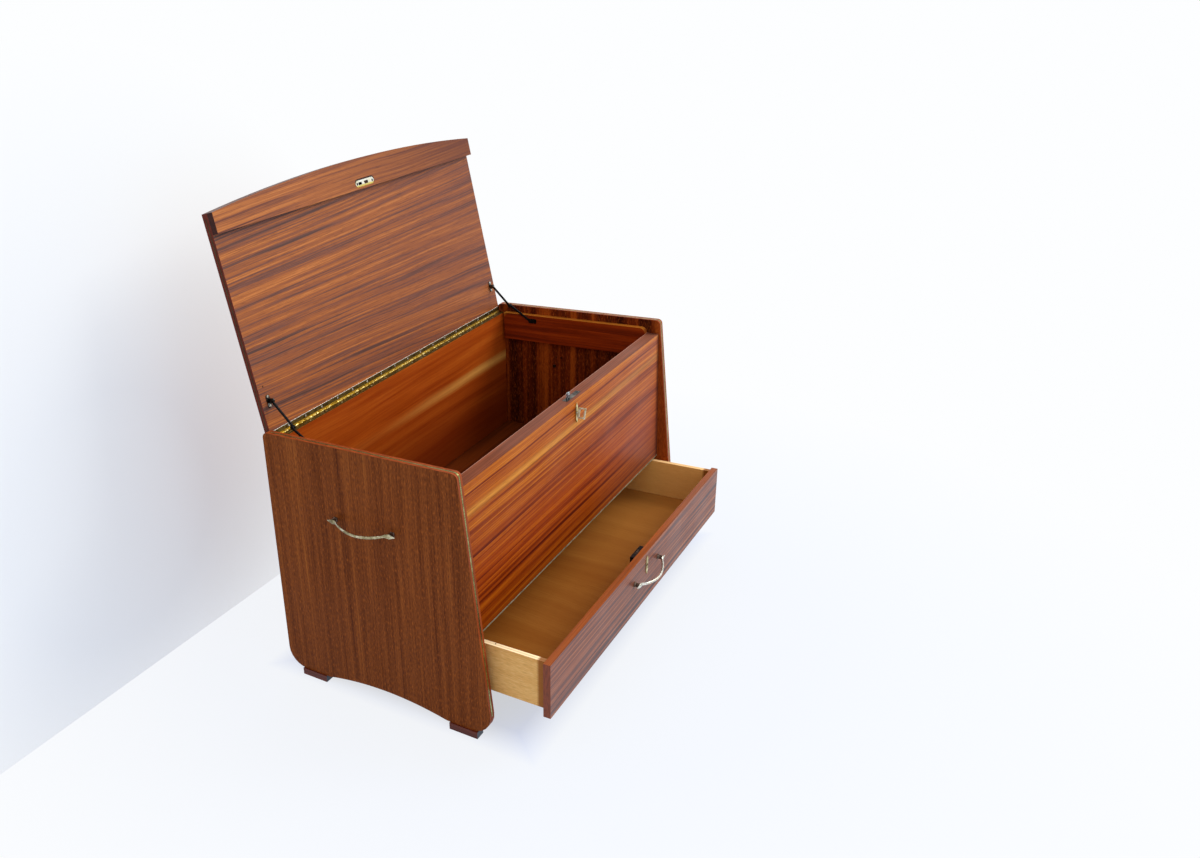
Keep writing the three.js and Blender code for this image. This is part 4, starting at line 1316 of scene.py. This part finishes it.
def floor_material():
    """Bluish and pale; seen directly it is nearly white. Under the chest it is less white, so its real
    shade shows, and a darker blue is painted in as a painted shadow.
    """
    s = Shader("pale_floor")
    beside = s.subtract(s.size(s.along(X_AXIS)), UNDER_HALF_WIDTH)
    before = s.subtract(s.size(s.along(Y_AXIS)), UNDER_HALF_DEPTH)
    outside = s.math("MAXIMUM", beside, before)
    under = s.remap(outside, -UNDER_FADE, UNDER_FADE, 1.0, 0.0)
    s.set(Base_Color=s.mix(under, linear(FLOOR_CODE), linear(UNDER_SHADOW_CODE)))
    s.set(Roughness=SHEET_ROUGHNESS, Specular_IOR_Level=SHEET_SPECULAR)
    away = s.from_point(FLOOR_CENTRE)
    white = s.remap(away, FLOOR_WHITE_FROM, FLOOR_WHITE_TO, FLOOR_LEAST_WHITE, 1.0)
    white = s.multiply(white, s.remap(outside, -UNDER_FADE, UNDER_FADE, UNDER_WHITE, 1.0))
    path = s.tree.nodes.new("ShaderNodeLightPath")
    direct = s.math("ADD", path.outputs["Is Camera Ray"], path.outputs["Is Glossy Ray"], clamp=True)
    s.tree.links.new(whitened(s, s.multiply(white, direct)), s.surface)
    return s.material


def wall_material():
    """Greyer beside the lid's left edge: there it has less of the white glow, a painted shadow that also
    lets the real shade show; white further off, and open when seen from behind.
    """
    s = Shader("pale_wall")
    cloud = s.noise(s.place, scale=WALL_CLOUD_SCALE, detail=3.0)
    cloud = s.remap(cloud, *NOISE_RANGE, 0.0, WALL_CLOUD_SHARE)
    s.set(Base_Color=s.mix(cloud, linear(WALL_CODE), linear(WALL_CLOUD_CODE)))
    s.set(Roughness=SHEET_ROUGHNESS, Specular_IOR_Level=SHEET_SPECULAR)
    away = s.from_point(WALL_SHADOW_SPOT)
    white = s.remap(away, WALL_WHITE_FROM, WALL_WHITE_TO, WALL_LEAST_WHITE, 1.0)
    behind = s.tree.nodes.new("ShaderNodeNewGeometry").outputs["Backfacing"]
    clear = s.tree.nodes.new("ShaderNodeBsdfTransparent").outputs[0]
    s.tree.links.new(s.mix_shaders(behind, whitened(s, white), clear), s.surface)
    return s.material


def sheet(name, corners, material):
    mesh = bpy.data.meshes.new(name)
    mesh.from_pydata(corners, [], [(0, 1, 2, 3)])
    item = bpy.data.objects.new(name, mesh)
    item.data.materials.append(material)
    bpy.context.scene.collection.objects.link(item)


sheet("floor", [(a * SHEET_REACH, b * SHEET_REACH, 0.0) for a, b in SQUARE], floor_material())
wall_corners = ((-1, 0), (1, 0), (1, 1), (-1, 1))
sheet("wall", [(a * SHEET_REACH, WALL_Y, b * SHEET_REACH) for a, b in wall_corners], wall_material())


# One large soft lamp at the front right, and an even pale surround.
LAMP_PLACE = Vector((3.2, -3.0, 3.6))
LAMP_TARGET = Vector((0.0, 0.0, 0.4))
LAMP_SIZE = 2.4
LAMP_WATTS = 130.0
LAMP_CODE = "FFFAF4"
SURROUND_CODE = "F4F6FC"
SURROUND_STRENGTH = 0.95


def soft_lamp():
    data = bpy.data.lights.new("key_light", "AREA")
    data.shape = "SQUARE"
    data.size = LAMP_SIZE
    data.energy = LAMP_WATTS
    data.color = linear(LAMP_CODE)[:3]
    item = bpy.data.objects.new("key_light", data)
    item.matrix_world = facing(LAMP_PLACE, LAMP_PLACE - LAMP_TARGET)
    bpy.context.scene.collection.objects.link(item)


def studio_world():
    """A pale surround that lights the chest, and plain white where the camera sees it."""
    world = bpy.data.worlds.new("studio")
    bpy.context.scene.world = world
    world.use_nodes = True
    tree = world.node_tree
    surround = tree.nodes["Background"]
    surround.inputs["Color"].default_value = linear(SURROUND_CODE)
    surround.inputs["Strength"].default_value = SURROUND_STRENGTH
    plain_white = tree.nodes.new("ShaderNodeBackground")
    plain_white.inputs["Color"].default_value = linear("FFFFFF")
    seen = tree.nodes.new("ShaderNodeMixShader")
    rays = tree.nodes.new("ShaderNodeLightPath")
    tree.links.new(rays.outputs["Is Camera Ray"], seen.inputs[0])
    tree.links.new(surround.outputs[0], seen.inputs[1])
    tree.links.new(plain_white.outputs[0], seen.inputs[2])
    tree.links.new(seen.outputs[0], tree.nodes["World Output"].inputs[0])


soft_lamp()
studio_world()

# The camera, solved from the chest's edges: its place in metres and its axes.
CAMERA_PLACE = Vector((-1.69679, -0.93225, 1.21445))
CAMERA_RIGHT = Vector((0.57283914, -0.81625274, -0.0747448))
CAMERA_UP = Vector((0.37466135, 0.17964217, 0.90959198))
CAMERA_BACK = Vector((-0.72902962, -0.54905388, 0.40872442))

camera_data = bpy.data.cameras.new("camera")
camera_data.sensor_width = 36.0
camera_data.sensor_fit = "HORIZONTAL"
camera_data.lens = 30.506
camera_data.shift_x = 0.19097
camera_data.shift_y = 0.0234
camera_data.clip_end = 100.0
camera = bpy.data.objects.new("camera", camera_data)
camera.matrix_world = axes_at(CAMERA_PLACE, CAMERA_RIGHT, CAMERA_UP, CAMERA_BACK)
bpy.context.scene.collection.objects.link(camera)
bpy.context.scene.camera = camera
bpy.context.scene.view_settings.view_transform = "Standard"
